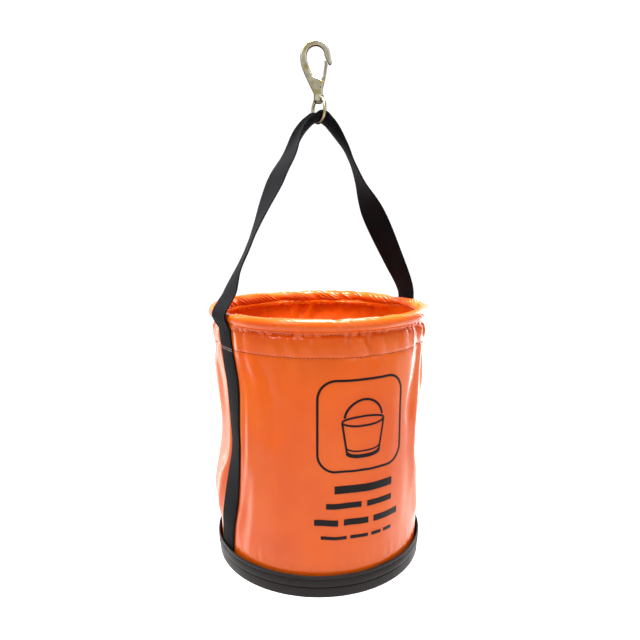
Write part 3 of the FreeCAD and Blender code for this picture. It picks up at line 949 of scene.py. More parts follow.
@dataclass
class RimRoll:
    """The top of the sheet, rolled over the hoop and gathered by the row below it."""

    shape: WallShape
    sections: int = 980
    pleat: float = 3.3 * MM
    padding: float = 1.8 * MM
    skirt: float = 1.5 * MM
    scallop: float = 2.2 * MM
    thinnest: float = 6.0 * MM
    gathered_bulge: float = 2.2 * MM

    def section(self, around: np.ndarray, turn: np.ndarray) -> np.ndarray:
        """Work out how far the roll's skin is from the middle of the hoop.

        Args:
            around: Angles about the bucket's axis, as a column, in radians.
            turn: Angles about the hoop, as a row, in radians; 0 is straight out.

        Returns:
            Array of (around, turn) distances in metres.
        """
        plan, level = self.shape.plan, np.zeros_like(turn)
        inward = smooth(turn, math.radians(35), math.radians(120))
        slant = Ripples(51, 34, 66, 3, drift=0.25)(around + 0.09 * turn, turn)
        fine = Ripples(57, 120, 230, 7, drift=0.5)(around + 0.2 * turn, turn)
        bunch = 0.35 + 0.9 * smooth(Ripples(61, 3, 13)(around, level), -0.5, 0.7)
        relief = -np.exp(-((slant / 0.42) ** 2)) * self.pleat * (0.12 + 0.88 * inward) * bunch
        relief = relief - np.abs(fine) * 0.14 * MM * (0.25 + 0.75 * inward)
        section = plan.roll + self.padding + relief
        for line in self.shape.lines:
            aside = np.degrees(wrapped(around - line.angle(plan, plan.hoop)))
            section = section - 2.2 * MM * np.exp(-((aside / 16.0) ** 2)) * (1 - 0.6 * inward)
        # The gathers stand out furthest beside the far run of the handle.
        bulge = np.degrees(wrapped(around - math.radians(-8.0)))
        section = section + self.gathered_bulge * np.exp(-((bulge / 15.0) ** 2)) * smooth(turn, 1.2, 0.1)
        return np.maximum(section, self.thinnest)

    def build(self) -> list[Piece]:
        """Skin the roll and the skirt that the gathering row holds.

        Returns:
            The finished roll, alone in a list.
        """
        plan = self.shape.plan
        angles = np.linspace(0, math.tau, self.sections, endpoint=False)
        around = angles[:, None]
        turn = np.radians(np.linspace(-62, 242, 50))[None, :]
        section = self.section(around, turn)
        wander = 1.0 * MM * Ripples(67, 2, 7)(around, np.zeros_like(turn))
        radius = plan.hoop_radius + section * np.cos(turn) + 0.3 * wander
        height = plan.hoop + section * np.sin(turn) + 0.5 * wander
        outer_foot, inner_foot = self.feet(around)
        # The skirt's edge is drawn up where the wall under it puckers.
        puckers = Ripples(5, 26, 56, 3, drift=26.0)(around, plan.gather)
        scallop = self.scallop * (1 - np.exp(-((puckers / 0.42) ** 2)))
        neck = np.full_like(scallop, plan.gather + 2.6 * MM)
        drop = np.concatenate([plan.gather - 0.4 * MM - scallop, neck], 1)
        outer_r = np.concatenate([outer_foot, outer_foot + 1.1 * MM], 1)
        inner_r = np.concatenate([inner_foot - 0.6 * MM, inner_foot], 1)
        radius = np.concatenate([outer_r, radius, inner_r], 1)
        height = np.concatenate([drop, height, drop[:, ::-1]], 1)
        piece = revolve("rim_roll", angles, radius, height)
        dress(piece, VINYL)
        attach(piece, Body.BUCKET.value)
        return [piece]

    def feet(self, around: np.ndarray) -> tuple[np.ndarray, np.ndarray]:
        """Find where the roll's skirt meets the wall.

        Args:
            around: Angles about the bucket's axis in radians.

        Returns:
            Radii outside and inside the wall, in metres.
        """
        plan = self.shape.plan
        row = self.shape.radius(around, np.array([[plan.gather]]))
        return row + self.skirt, row - 3.0 * MM


@dataclass
class BottomPan:
    """Moulded dish: a stitched upper band, a groove and a lower band with a rounded edge."""

    plan: Plan
    sections: int = 480
    wall: float = 2.6 * MM
    floor: float = 3.0 * MM
    groove: float = 16.5 * MM
    edge: float = 3.8 * MM
    stitch_drop: float = 6.0 * MM

    def section(self) -> tuple[np.ndarray, np.ndarray]:
        """Draw the dish's section from the middle out, up the outside and back in.

        Returns:
            Radii and heights in metres.
        """
        top = self.plan.pan_top - self.plan.base
        out = self.plan.pan_radius
        arc = np.radians(np.linspace(-90, 0, 12))
        lower = out - 1.2 * MM
        edge = self.edge
        points = [(0.5 * MM, 0.0), (0.08, 0.0), (0.13, 0.0)]
        points += [(lower - edge + edge * math.cos(a), edge + edge * math.sin(a)) for a in arc]
        points += [(lower + 0.25 * MM, self.groove - 2.4 * MM), (lower + 0.1 * MM, self.groove - 0.9 * MM)]
        points += [(lower - 1.0 * MM, self.groove - 0.4 * MM), (lower - 1.0 * MM, self.groove + 0.4 * MM)]
        points += [(out - 0.5 * MM, self.groove + 1.0 * MM), (out - 0.1 * MM, self.groove + 2.6 * MM)]
        row = top - self.stitch_drop
        dip = out - 0.55 * MM
        points += [(out, row - 2.0 * MM), (dip, row - 0.8 * MM), (dip, row + 0.8 * MM)]
        points += [(out - 0.05 * MM, row + 1.9 * MM), (out, top - 2.2 * MM)]
        bead = 1.3 * MM
        for a in np.radians(np.linspace(0, 180, 9)):
            points.append((out - bead + bead * math.cos(a), top - bead + bead * math.sin(a)))
        inner = out - self.wall
        floor = self.floor
        points += [(inner, top - 3 * MM), (inner, floor + 2.5 * MM), (inner - 0.8 * MM, floor + 0.7 * MM)]
        points += [(inner - 2.6 * MM, floor), (0.1, floor), (0.5 * MM, floor)]
        r, z = np.array(points).T
        return r, z + self.plan.base

    def build(self) -> list[Piece]:
        """Skin the dish with a slight waviness from the mould and the sewing.

        Returns:
            The finished dish, alone in a list.
        """
        r, z = self.section()
        angles = np.linspace(0, math.tau, self.sections, endpoint=False)
        around = angles[:, None]
        rising = smooth(z - self.plan.base, 0.006, 0.03) * (r > 0.14)
        waves = 0.45 * MM * Ripples(71, 4, 17)(around, z[None, :]) * rising
        oval = 0.7 * MM * np.cos(2 * (around - 0.3)) * rising
        radius = r[None, :] + waves + oval
        height = np.broadcast_to(z, radius.shape)
        piece = revolve("bottom_pan_dish", angles, radius, height)
        dress(piece, POLYMER)
        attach(piece, Body.BUCKET.value)
        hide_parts("bottom_pan")
        return [piece]

    def outside(self, angle: np.ndarray, height: float) -> float:
        """Return the dish's outer radius at an angle and a height above the base."""
        wave = 0.45 * MM * Ripples(71, 4, 17)(angle, np.array(self.plan.base + height))
        return self.plan.pan_radius + wave + 0.7 * MM * np.cos(2 * (angle - 0.3))


# ---------------------------------------------------------------- webbing


@dataclass
class Webbing:
    """One length of webbing, skinned from stations along its middle."""

    thickness: float = 2.0 * MM
    width: float = 38.0 * MM
    across: int = 15

    def offsets(self) -> tuple[np.ndarray, np.ndarray]:
        """Draw the loop of a flat cross-section with round edges.

        Returns:
            Places across the webbing and through its thickness, in metres.
        """
        thin = self.thickness / 2
        flat = self.width / 2 - thin
        row, face = np.linspace(-flat, flat, self.across), np.full(self.across, thin)
        turn = np.radians([60, 20, -20, -60])
        out, up = thin * np.cos(turn), thin * np.sin(turn)
        side = np.concatenate([row, flat + out, row[::-1], -flat - out])
        return side, np.concatenate([face, up, -face, -up])

    def skin(self, name: str, course: "Course", curl: np.ndarray, start: float) -> Piece:
        """Skin the webbing along its stations.

        Args:
            name: Name of the piece.
            course: Stations along the middle line.
            curl: How fast each section curls towards its normal, in radians per metre.
            start: Length of webbing before the first station, for the weave's map.

        Returns:
            The closed piece.
        """
        w, t = self.offsets()
        middle, side, normal = course
        # A section without curl gets one that is too small to see, as curl divides below.
        k = np.where(np.abs(curl) < 1e-3, 1e-3, curl)[:, None]
        lateral = np.sin(k * w) / k - t * np.sin(k * w)
        rise = (1 - np.cos(k * w)) / k + t * np.cos(k * w)
        rings = middle[:, None] + side[:, None] * lateral[..., None] + normal[:, None] * rise[..., None]
        lengths = np.concatenate([[0], np.linalg.norm(np.diff(middle, axis=0), axis=1)]).cumsum() + start
        uv = np.stack(np.broadcast_arrays(w[None, :], lengths[:, None]), -1)
        return ring_mesh(name, rings, closed=False, uv=uv, sharp=50)


class Course(NamedTuple):
    """Stations along webbing, each an array of (stations, 3).

    Args:
        places: Places of the middle line in metres.
        side: Unit vectors across the webbing.
        normal: Unit vectors out of its outer face.
    """

    places: np.ndarray
    side: np.ndarray
    normal: np.ndarray

    def join(self, after: "Course") -> "Course":
        """Return this course with another one after it."""
        return Course(*(np.concatenate(pair) for pair in zip(self, after)))


@dataclass
class Leg:
    """The free leg on one side: its path in the handle's plane and how it twists.

    Args:
        line: The run that it leads to.
        path: Knots of height below the foot of the eye and distance out, in metres.
        twist: Knots of height below the foot and turn about the leg, in degrees.
        aside: Knots of height below the foot and degrees off the handle's plane.
    """

    line: StrapLine
    path: Knots
    twist: Knots
    aside: Knots


def unit(vectors: np.ndarray) -> np.ndarray:
    """Scale vectors on the last axis to length one."""
    return vectors / np.linalg.norm(vectors, axis=-1, keepdims=True)


@dataclass
class Handle:
    """The webbing from one pan edge up through the eye and down to the other."""

    plan: Plan
    shape: WallShape
    webbing: Webbing = field(default_factory=Webbing)
    wire: float = 2.25 * MM
    split: float = 0.115
    crown_curl: float = 1 / (12.9 * MM)
    crown_stations: int = 13
    upper_stations: int = 44
    lower_stations: int = 66
    run_stations: int = 90

    def legs(self) -> tuple[Leg, Leg]:
        """List both legs with the knots of their paths, twists and drift.

        Returns:
            The right leg and the left leg.
        """
        left = Leg(
            LEFT_LINE,
            path=((0.0, 0.0065), (0.004, 0.0125), (0.015, 0.0235), (0.026, 0.0320), (0.047, 0.0470),
                  (0.058, 0.0550), (0.069, 0.0622), (0.090, 0.0732), (0.111, 0.084), (0.133, 0.0942),
                  (0.154, 0.104), (0.175, 0.1137), (0.196, 0.1253), (0.217, 0.1368), (0.229, 0.1440),
                  (0.240, 0.1540), (0.248, 0.1612), (0.256, 0.1632), (0.262, 0.1610), (0.268, 0.1570),
                  (0.275, 0.1545)),
            twist=((0.0, 0.0), (0.004, 4.0), (0.026, 2.5), (0.047, -3.0), (0.069, -9.0), (0.080, -11.5),
                   (0.090, -9.0), (0.111, -0.5), (0.133, 9.0), (0.154, 15.0), (0.185, 14.5), (0.196, 13.0),
                   (0.207, 9.0), (0.217, 3.5), (0.228, 1.0), (0.258, 0.0)),
            aside=((0.0, 0.0), (0.21, 0.0), (0.242, 6.0), (0.26, 6.0), (0.272, 3.4), (0.3, 3.4)),
        )
        right = Leg(
            RIGHT_LINE,
            path=((0.0, 0.0075), (0.002, 0.0105), (0.011, 0.0200), (0.021, 0.0300), (0.031, 0.0405),
                  (0.042, 0.0495), (0.053, 0.0583), (0.075, 0.0694), (0.097, 0.0812), (0.120, 0.0938),
                  (0.144, 0.1080), (0.169, 0.1224), (0.194, 0.1368), (0.219, 0.1515), (0.233, 0.1585),
                  (0.244, 0.1622), (0.256, 0.1632), (0.262, 0.1610), (0.268, 0.1570), (0.275, 0.1545)),
            twist=((0.0, 8.0), (0.011, 14.0), (0.021, 19.5), (0.042, 22.0), (0.053, 22.0), (0.064, 18.5),
                   (0.075, 14.0), (0.086, 5.0), (0.097, -8.0), (0.109, -21.0), (0.120, -32.0), (0.138, -37.5),
                   (0.156, -34.0), (0.181, -26.0), (0.206, -19.0), (0.233, -8.0), (0.25, 0.0)),
            aside=((0.0, 0.0), (0.3, 0.0)),
        )
        return right, left

    def leg_course(self, leg: Leg, drops: np.ndarray) -> Course:
        """Place the stations of a free leg.

        Args:
            leg: The leg to place.
            drops: Heights below the foot of the eye, in metres.

        Returns:
            The leg's course.
        """
        out = soft_knots(drops, leg.path, 0.006)
        heading = self.plan.turn + (math.pi if leg.line.side is Side.LEFT else 0.0)
        heading = heading + np.radians(soft_knots(drops, leg.aside, 0.02))
        places = np.stack([out * np.cos(heading), out * np.sin(heading), self.plan.foot - drops], -1)
        return self.framed(places, heading, soft_knots(drops, leg.twist, 0.008))

    def framed(self, places: np.ndarray, heading: np.ndarray, twist: np.ndarray) -> Course:
        """Give places a side and a normal.

        Args:
            places: Array of (stations, 3) places of the middle line.
            heading: The way that each place lies from the bucket's axis, in radians.
            twist: How far the webbing is turned about its own line, in degrees.

        Returns:
            The course, with its normals away from the bucket's axis.
        """
        along = unit(np.gradient(places, axis=0))
        side = np.stack([-np.sin(heading), np.cos(heading), np.zeros_like(heading)], -1)
        side = unit(side - along * (side * along).sum(-1, keepdims=True))
        normal = np.cross(side, along)
        outward = np.stack([np.cos(heading), np.sin(heading), np.full_like(heading, 0.6)], -1)
        normal = normal * np.sign((normal * outward).sum(-1, keepdims=True))
        a = np.radians(twist)[:, None]
        return Course(places, side * np.cos(a) + normal * np.sin(a), normal * np.cos(a) - side * np.sin(a))

    def crown(self) -> Course:
        """Drape the webbing over the eye's wire.

        Returns:
            The crown's course, from the left leg to the right one.
        """
        bend = self.wire + 0.3 * MM + self.webbing.thickness / 2
        turn = np.radians(np.linspace(-52, 52, self.crown_stations))
        out_x, out_y = math.cos(self.plan.turn), math.sin(self.plan.turn)
        out, up = bend * np.sin(turn), self.plan.foot + bend * np.cos(turn)
        places = np.stack([out_x * out, out_y * out, up], -1)
        side = np.tile((-out_y, out_x, 0.0), (self.crown_stations, 1))
        return Course(places, side, np.cross(unit(np.gradient(places, axis=0)), side))

    def upper(self) -> Piece:
        """Skin the crown over the eye's wire and both upper legs as one piece.

        Returns:
            The finished piece.
        """
        drops = np.linspace(0.004, self.split, self.upper_stations)
        right, left = (self.leg_course(leg, drops) for leg in self.legs())
        left = Course(left.places[::-1], -left.side[::-1], left.normal[::-1])
        course = left.join(self.crown()).join(right)
        along = unit(np.gradient(course.places, axis=0))
        side = unit(course.side - along * (course.side * along).sum(-1, keepdims=True))
        course = Course(course.places, side, np.cross(along, side))
        drop = self.plan.foot + 3.5 * MM - course.places[:, 2]
        curl = self.crown_curl * smooth(drop, 0.062, 0.006) ** 1.3
        piece = self.webbing.skin("handle_webbing_crown", course, curl, 0.0)
        dress(piece, WEBBING)
        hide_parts("strap_crown")
        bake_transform(piece)
        return piece

    def lower(self, leg: Leg) -> Piece:
        """Skin the lower leg and its sewn run as one piece that bends over the rim.

        Args:
            leg: The leg to skin.

        Returns:
            The finished piece.
        """
        plan = self.plan
        name = leg.line.side.value
        rim_drop = plan.foot - (plan.gather - 1.0 * MM)
        free = self.leg_course(leg, np.linspace(self.split, rim_drop - 2 * MM, self.lower_stations))
        heights = np.linspace(plan.gather - 3 * MM, plan.base + 6 * MM, self.run_stations)
        heading = leg.line.angle(plan, heights)
        out = self.shape.strap_base(leg.line, heights) + 0.35 * MM + self.webbing.thickness / 2
        sewn = np.stack([out * np.cos(heading), out * np.sin(heading), heights], -1)
        run = self.framed(sewn, heading, np.degrees(np.arctan(leg.line.tilt(plan, heights))))
        on_wall = np.full(self.run_stations, -1 / plan.hoop_radius)
        curl = np.concatenate([np.zeros(self.lower_stations), on_wall])
        piece = self.webbing.skin(f"handle_webbing_{name}", free.join(run), curl, self.split)
        dress(piece, WEBBING)
        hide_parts(f"strap_leg_{name}", f"strap_run_{name}")
        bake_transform(piece)
        return piece

    def build(self) -> list[Piece]:
        """Skin the whole handle.

        Returns:
            The crown with the upper legs, then each lower leg with its run.
        """
        right, left = self.legs()
        return [self.upper(), self.lower(right), self.lower(left)]


# ---------------------------------------------------------------- stitches


@dataclass(frozen=True)
class StitchSizes:
    """One kind of stitch: its pitch along the row, its length and its thread, in metres."""

    pitch: float = 5.0 * MM
    length: float = 3.7 * MM
    thread: float = 0.45 * MM


class StitchMachine:
    """Geometry Nodes that set a stitch at every pitch along a row."""

    def __init__(self) -> None:
        """Build the tree once."""
        self.tree = bpy.data.node_groups.new("stitch_row", "GeometryNodeTree")
        self.sockets: dict[str, str] = {}
        self._wire()

    def _input(self, label: str, kind: str) -> None:
        """Add a named input and remember its identifier."""
        made = self.tree.interface.new_socket(label, in_out="INPUT", socket_type=kind)
        self.sockets[label] = made.identifier

    def _wire(self) -> None:
        """Wire path, points, stitch shape, realising and material."""
        self._input("Geometry", "NodeSocketGeometry")
        for label in ("Pitch", "Length", "Thread"):
            self._input(label, "NodeSocketFloat")
        self._input("Material", "NodeSocketMaterial")
        self.tree.interface.new_socket("Geometry", in_out="OUTPUT", socket_type="NodeSocketGeometry")
        tree = self.tree
        given = add(tree, "NodeGroupInput").outputs
        curve = add(tree, "GeometryNodeMeshToCurve", {"Mesh": given["Geometry"]})
        spacing = {"Curve": curve.outputs["Curve"], "Length": given["Pitch"]}
        points = add(tree, "GeometryNodeCurveToPoints", spacing, mode="LENGTH")
        aim = add(tree, "FunctionNodeAlignRotationToVector", {"Vector": points.outputs["Tangent"]}, axis="Z")
        half = add(tree, "ShaderNodeMath", {0: given["Length"], 1: 0.5}, operation="MULTIPLY")
        sides = {"X": given["Thread"], "Y": given["Thread"], "Z": half.outputs[0]}
        size = add(tree, "ShaderNodeCombineXYZ", sides)
        jitter = add(tree, "FunctionNodeRandomValue", {2: 0.88, 3: 1.1, "Seed": 7}, data_type="FLOAT")
        factors = {0: size.outputs[0], "Scale": jitter.outputs[1]}
        scale = add(tree, "ShaderNodeVectorMath", factors, operation="SCALE")
        ball = add(tree, "GeometryNodeMeshUVSphere", {"Segments": 6, "Rings": 6, "Radius": 1.0})
        links = {"Points": points.outputs["Points"], "Instance": ball.outputs["Mesh"],
                 "Rotation": aim.outputs["Rotation"], "Scale": scale.outputs[0]}
        placed = add(tree, "GeometryNodeInstanceOnPoints", links)
        real = add(tree, "GeometryNodeRealizeInstances", {"Geometry": placed.outputs["Instances"]})
        shaded = add(tree, "GeometryNodeSetShadeSmooth", {"Geometry": real.outputs["Geometry"]})
        thread = {"Geometry": shaded.outputs["Geometry"], "Material": given["Material"]}
        done = add(tree, "GeometryNodeSetMaterial", thread)
        add(tree, "NodeGroupOutput", {0: done.outputs["Geometry"]})

    def sew(
        self, name: str, rows: list[np.ndarray], sizes: StitchSizes, finish: Finish, closed: bool
    ) -> Piece:
        """Sew rows of stitches and bake them to a plain mesh.

        Args:
            name: Name of the piece.
            rows: Each row's places, as (points, 3) arrays in metres.
            sizes: Pitch, length and thread.
            finish: The thread's finish.
            closed: True when each row joins its own start.

        Returns:
            The baked piece.
        """
        points, edges = [], []
        for row in rows:
            first = len(points)
            points += row.tolist()
            edges += [(first + i, first + i + 1) for i in range(len(row) - 1)]
            if closed:
                edges.append((first + len(row) - 1, first))
        path = bpy.data.meshes.new(name + "_path")
        path.from_pydata(points, edges, [])
        piece = bpy.data.objects.new(name, path)
        bpy.context.scene.collection.objects.link(piece)
        modifier = piece.modifiers.new("stitches", "NODES")
        modifier.node_group = self.tree
        modifier[self.sockets["Pitch"]] = sizes.pitch
        modifier[self.sockets["Length"]] = sizes.length
        modifier[self.sockets["Thread"]] = sizes.thread
        modifier[self.sockets["Material"]] = finish.material()
        depsgraph = bpy.context.evaluated_depsgraph_get()
        baked = bpy.data.meshes.new_from_object(piece.evaluated_get(depsgraph))
        piece.modifiers.clear()
        piece.data = baked
        bpy.data.meshes.remove(path)
        return piece


@dataclass
class Stitching:
    """Every visible row of thread on the bucket."""

    plan: Plan
    shape: WallShape
    pan: BottomPan
    machine: StitchMachine = field(default_factory=StitchMachine)
    samples: int = 900
    on_hem: StitchSizes = StitchSizes(pitch=5.2 * MM, length=4.4 * MM, thread=0.42 * MM)
    on_crossing: StitchSizes = StitchSizes(pitch=3.6 * MM, length=4.2 * MM, thread=0.34 * MM)
    on_pan: StitchSizes = StitchSizes(pitch=5.4 * MM, length=4.2 * MM, thread=0.6 * MM)
    on_webbing: StitchSizes = StitchSizes(pitch=3.6 * MM, length=2.9 * MM, thread=0.36 * MM)

    def hem_rows(self) -> list[Piece]:
        """Sew the two rows round the wall, outside and inside.

        Returns:
            The three rows.
        """
        angles = np.linspace(0, math.tau, self.samples, endpoint=False)
        made = []
        for name, level in (("hem_thread_upper", self.plan.gather), ("hem_thread_lower", self.plan.hem)):
            lap = SKIRT_LAP if level == self.plan.gather else 0.1 * MM
            place = self.shape.point(angles, np.full(self.samples, level), lap)
            piece = self.machine.sew(name + "_stitches", [place], self.on_hem, SHADED_HEM_THREAD, closed=True)
            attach(piece, Body.BUCKET.value)
            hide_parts(name)
            made.append(piece)
        inner = self.shape.point(angles, np.full(self.samples, self.plan.hem), -2.7 * MM)
        piece = self.machine.sew("hem_thread_inside", [inner], StitchSizes(), SHADED_HEM_THREAD, closed=True)
        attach(piece, Body.BUCKET.value)
        return made + [piece]

    def webbing_crossings(self) -> list[Piece]:
        """Sew the same rows across the webbing, in the paler lit copy of the thread.

        Returns:
            The crossings, joined in one piece.
        """
        rows = []
        for line in self.shape.lines:
            for level in (self.plan.gather - 1.5 * MM, self.plan.hem + 1.2 * MM, self.plan.hem - 1.4 * MM):
                aside = np.linspace(-line.half_width + 1.5 * MM, line.half_width - 1.5 * MM, 24)
                middle = line.angle(self.plan, np.array(level))
                out = self.shape.strap_base(line, np.array(level)) + 2.55 * MM
                r = out + line.tilt(self.plan, np.array(level)) * aside
                a = middle + aside / self.plan.hoop_radius
                rows.append(np.stack([r * np.cos(a), r * np.sin(a), np.full(24, level)], -1))
        piece = self.machine.sew("hem_thread_on_webbing", rows, self.on_crossing, LIT_THREAD_COPY, closed=False)
        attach(piece, Body.BUCKET.value)
        return [piece]

    def pan_rows(self) -> list[Piece]:
        """Sew the two rows round the pan.

        Returns:
            Both rows.
        """
        angles = np.linspace(0, math.tau, self.samples, endpoint=False)
        top = self.plan.pan_top - self.plan.base
        rows = (("pan_thread_upper", top - self.pan.stitch_drop, 0.45 * MM),
                ("pan_thread_lower", self.pan.groove + 0.2 * MM, 1.9 * MM))
        made = []
        for name, height, inset in rows:
            r = self.pan.outside(angles, height) - inset
            level = np.full(self.samples, self.plan.base + height)
            place = np.stack([r * np.cos(angles), r * np.sin(angles), level], -1)
            piece = self.machine.sew(name + "_stitches", [place], self.on_pan, BLACK_THREAD, closed=True)
            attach(piece, Body.BUCKET.value)
            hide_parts(name)
            made.append(piece)
        return made

    def webbing_edges(self) -> list[Piece]:
        """Sew the rows that run down near both edges of each sewn run.

        Returns:
            One piece for each run.
        """
        heights = np.linspace(self.plan.hem - 6 * MM, self.plan.pan_top + 5 * MM, 120)
        made = []
        for line in self.shape.lines:
            rows = []
            for lean in (-1, 1):
                aside = lean * (line.half_width - 4 * MM)
                r = self.shape.strap_base(line, heights) + 2.5 * MM + line.tilt(self.plan, heights) * aside
                a = line.angle(self.plan, heights) + aside / self.plan.hoop_radius
                rows.append(np.stack([r * np.cos(a), r * np.sin(a), heights], -1))
            name = f"strap_thread_{line.side.value}"
            piece = self.machine.sew(name + "_stitches", rows, self.on_webbing, BLACK_THREAD, closed=False)
            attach(piece, Body.BUCKET.value)
            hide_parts(name)
            made.append(piece)
        return made

    def build(self) -> list[Piece]:
        """Sew every row."""
        return self.hem_rows() + self.webbing_crossings() + self.pan_rows() + self.webbing_edges()


# ---------------------------------------------------------------- printed badge


def oval(wide: float, level: float, tall: float, sweep: tuple[float, float], steps: int) -> Knots:
    """Draw part of an oval.

    Args:
        wide: Half its width in mm.
        level: Height of its middle in mm.
        tall: Half its height in mm.
        sweep: First and last turn in degrees; 0 is to the right.
        steps: Number of points.

    Returns:
        The points in mm.
    """
    turns = np.radians(np.linspace(*sweep, steps))
    return tuple((wide * math.cos(a), level + tall * math.sin(a)) for a in turns)


@dataclass
class PrintedBadge:
    """A generic framed bucket sign with plain bars under it, printed on the wall."""

    shape: WallShape
    heading: float = math.radians(-67.5)
    middle: float = 0.2425
    half: float = 63.0 * MM
    line: float = 3.0 * MM
    corner: float = 26.0 * MM
    film: float = 0.25 * MM
    lift: float = 0.22 * MM
    # Bars under the frame: left end, right end, height of the middle, half height, in mm.
    bars: tuple[tuple[float, float, float, float], ...] = (
        (-39.0, 46.0, -87.0, 5.4),
        (-50.0, -2.0, -110.0, 3.9), (6.0, 46.0, -110.0, 3.9),
        (-66.0, -34.0, -134.0, 4.3), (-26.0, 8.0, -134.0, 4.3), (16.0, 58.0, -134.0, 4.3),
        (-57.0, -22.0, -156.0, 2.3), (-17.0, 8.0, -156.0, 2.3),
        (13.0, 28.0, -156.0, 2.3), (33.0, 47.0, -156.0, 2.3),
    )

    def place(self, u: np.ndarray, v: np.ndarray, out: float) -> np.ndarray:
        """Lay flat places on the wall: u runs to the right and v up, in metres."""
        r = self.shape.plan.hoop_radius
        return self.shape.point(self.heading + u / r, self.shape.plan.base + self.middle + v, out)

    def strip(self, left: np.ndarray, right: np.ndarray) -> np.ndarray:
        """Make rings of a thin film between two flat outlines of the same length.

        Args:
            left: Array of (points, 2) flat places on one edge.
            right: The matching places on the other edge.

        Returns:
            Rings of places, one for each pair of points.
        """
        share = np.linspace(0, 1, 5)[None, :, None]
        flat = left[:, None] * (1 - share) + right[:, None] * share
        top = self.place(flat[..., 0], flat[..., 1], self.lift + self.film)
        low = self.place(flat[..., 0], flat[..., 1], self.lift * 0.2)
        return np.concatenate([top, low[:, ::-1]], 1)

    def frame_outline(self, inset: float) -> np.ndarray:
        """Draw a square with rounded corners.

        Args:
            inset: Distance inside the frame's edge, in metres.

        Returns:
            Array of (points, 2) flat places in metres.
        """
        half, corner = self.half - inset, self.corner - inset
        straight = half - corner
        points = []
        for quarter in range(4):
            a = math.radians(90 * quarter)
            edge = [(straight + corner * math.cos(b), straight + corner * math.sin(b))
                    for b in np.radians(np.linspace(0, 90, 14))]
            edge += [(x, half) for x in np.linspace(straight, -straight, 16)[1:-1]]
            cos, sin = math.cos(a), math.sin(a)
            points += [(x * cos - y * sin, x * sin + y * cos) for x, y in edge]
        return np.array(points)

    def stroke(self, points: tuple[tuple[float, float], ...], wide: float) -> np.ndarray:
        """Lay a stroke along places in mm, with corners eased by many short steps.

        Args:
            points: The stroke's middle line.
            wide: Width of the stroke in mm.

        Returns:
            Rings of the film.
        """
        given = np.array(points) * MM
        steps = np.linalg.norm(np.diff(given, axis=0), axis=1)
        length = np.concatenate([[0], steps]).cumsum()
        at = np.linspace(0, length[-1], max(3, int(length[-1] / (2.5 * MM))))
        line = np.stack([np.interp(at, length, given[:, i]) for i in (0, 1)], -1)
        along = np.gradient(line, axis=0)
        along /= np.linalg.norm(along, axis=1, keepdims=True)
        across = np.stack([-along[:, 1], along[:, 0]], -1) * wide * MM / 2
        return self.strip(line - across, line + across)

    def pieces(self) -> list[tuple[str, np.ndarray, bool]]:
        """Draw every printed shape.

        Returns:
            Name, rings and whether they close, for each shape.
        """
        made = [("frame", self.strip(self.frame_outline(0.0), self.frame_outline(self.line)), True)]
        for number, (left, right, level, tall) in enumerate(self.bars):
            made.append((f"bar_{number + 1}", self.stroke(((left, level), (right, level)), 2 * tall), False))
        strokes = (
            ("bail", oval(27, 8, 27, (8, 172), 40), 3.0),
            ("pail_rim", oval(30, 6, 6.5, (0, 358), 60), 2.6),
            ("pail_foot", oval(23, -36, 6.0, (180, 360), 30), 5.0),
            ("pail_band", oval(24, -29, 6.0, (184, 356), 30), 2.0),
            ("pail_left", ((-30, 6), (-23, -36)), 2.6),
            ("pail_right", ((30, 6), (23, -36)), 2.6),
        )
        return made + [(name, self.stroke(points, wide), False) for name, points, wide in strokes]

    def build(self) -> list[Piece]:
        """Print every shape on the wall.

        Returns:
            The printed pieces.
        """
        made = []
        for name, rings, closed in self.pieces():
            piece = ring_mesh("print_" + name, rings, closed=closed)
            dress(piece, INK)
            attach(piece, Body.BUCKET.value)
            made.append(piece)
        return made


# ---------------------------------------------------------------- metal, room and camera


@dataclass
class Hardware:
    """The snap hook, its gate and the swivel eye: engineered solids that only need a finish."""

    finishes: tuple[tuple[str, Finish], ...] = (
        ("snap_hook_body", CASTING), ("gate", CASTING), ("swivel_post", CASTING), ("swivel_eye", CASTING),
        ("gate_pin", PIN_STEEL), ("gate_spring", SPRING_STEEL),
        ("rim_hoop", POLYMER), ("hoop_splice", POLYMER),
    )

    def build(self) -> list[Piece]:
        """Give each node its material.

        Returns:
            The nodes, which keep their own solids.
        """
        for node, finish in self.finishes:
            piece = frame["nodes"][node]
            piece.data.materials.clear()
            piece.data.materials.append(finish.material())
        return [frame["nodes"][node] for node, _ in self.finishes]


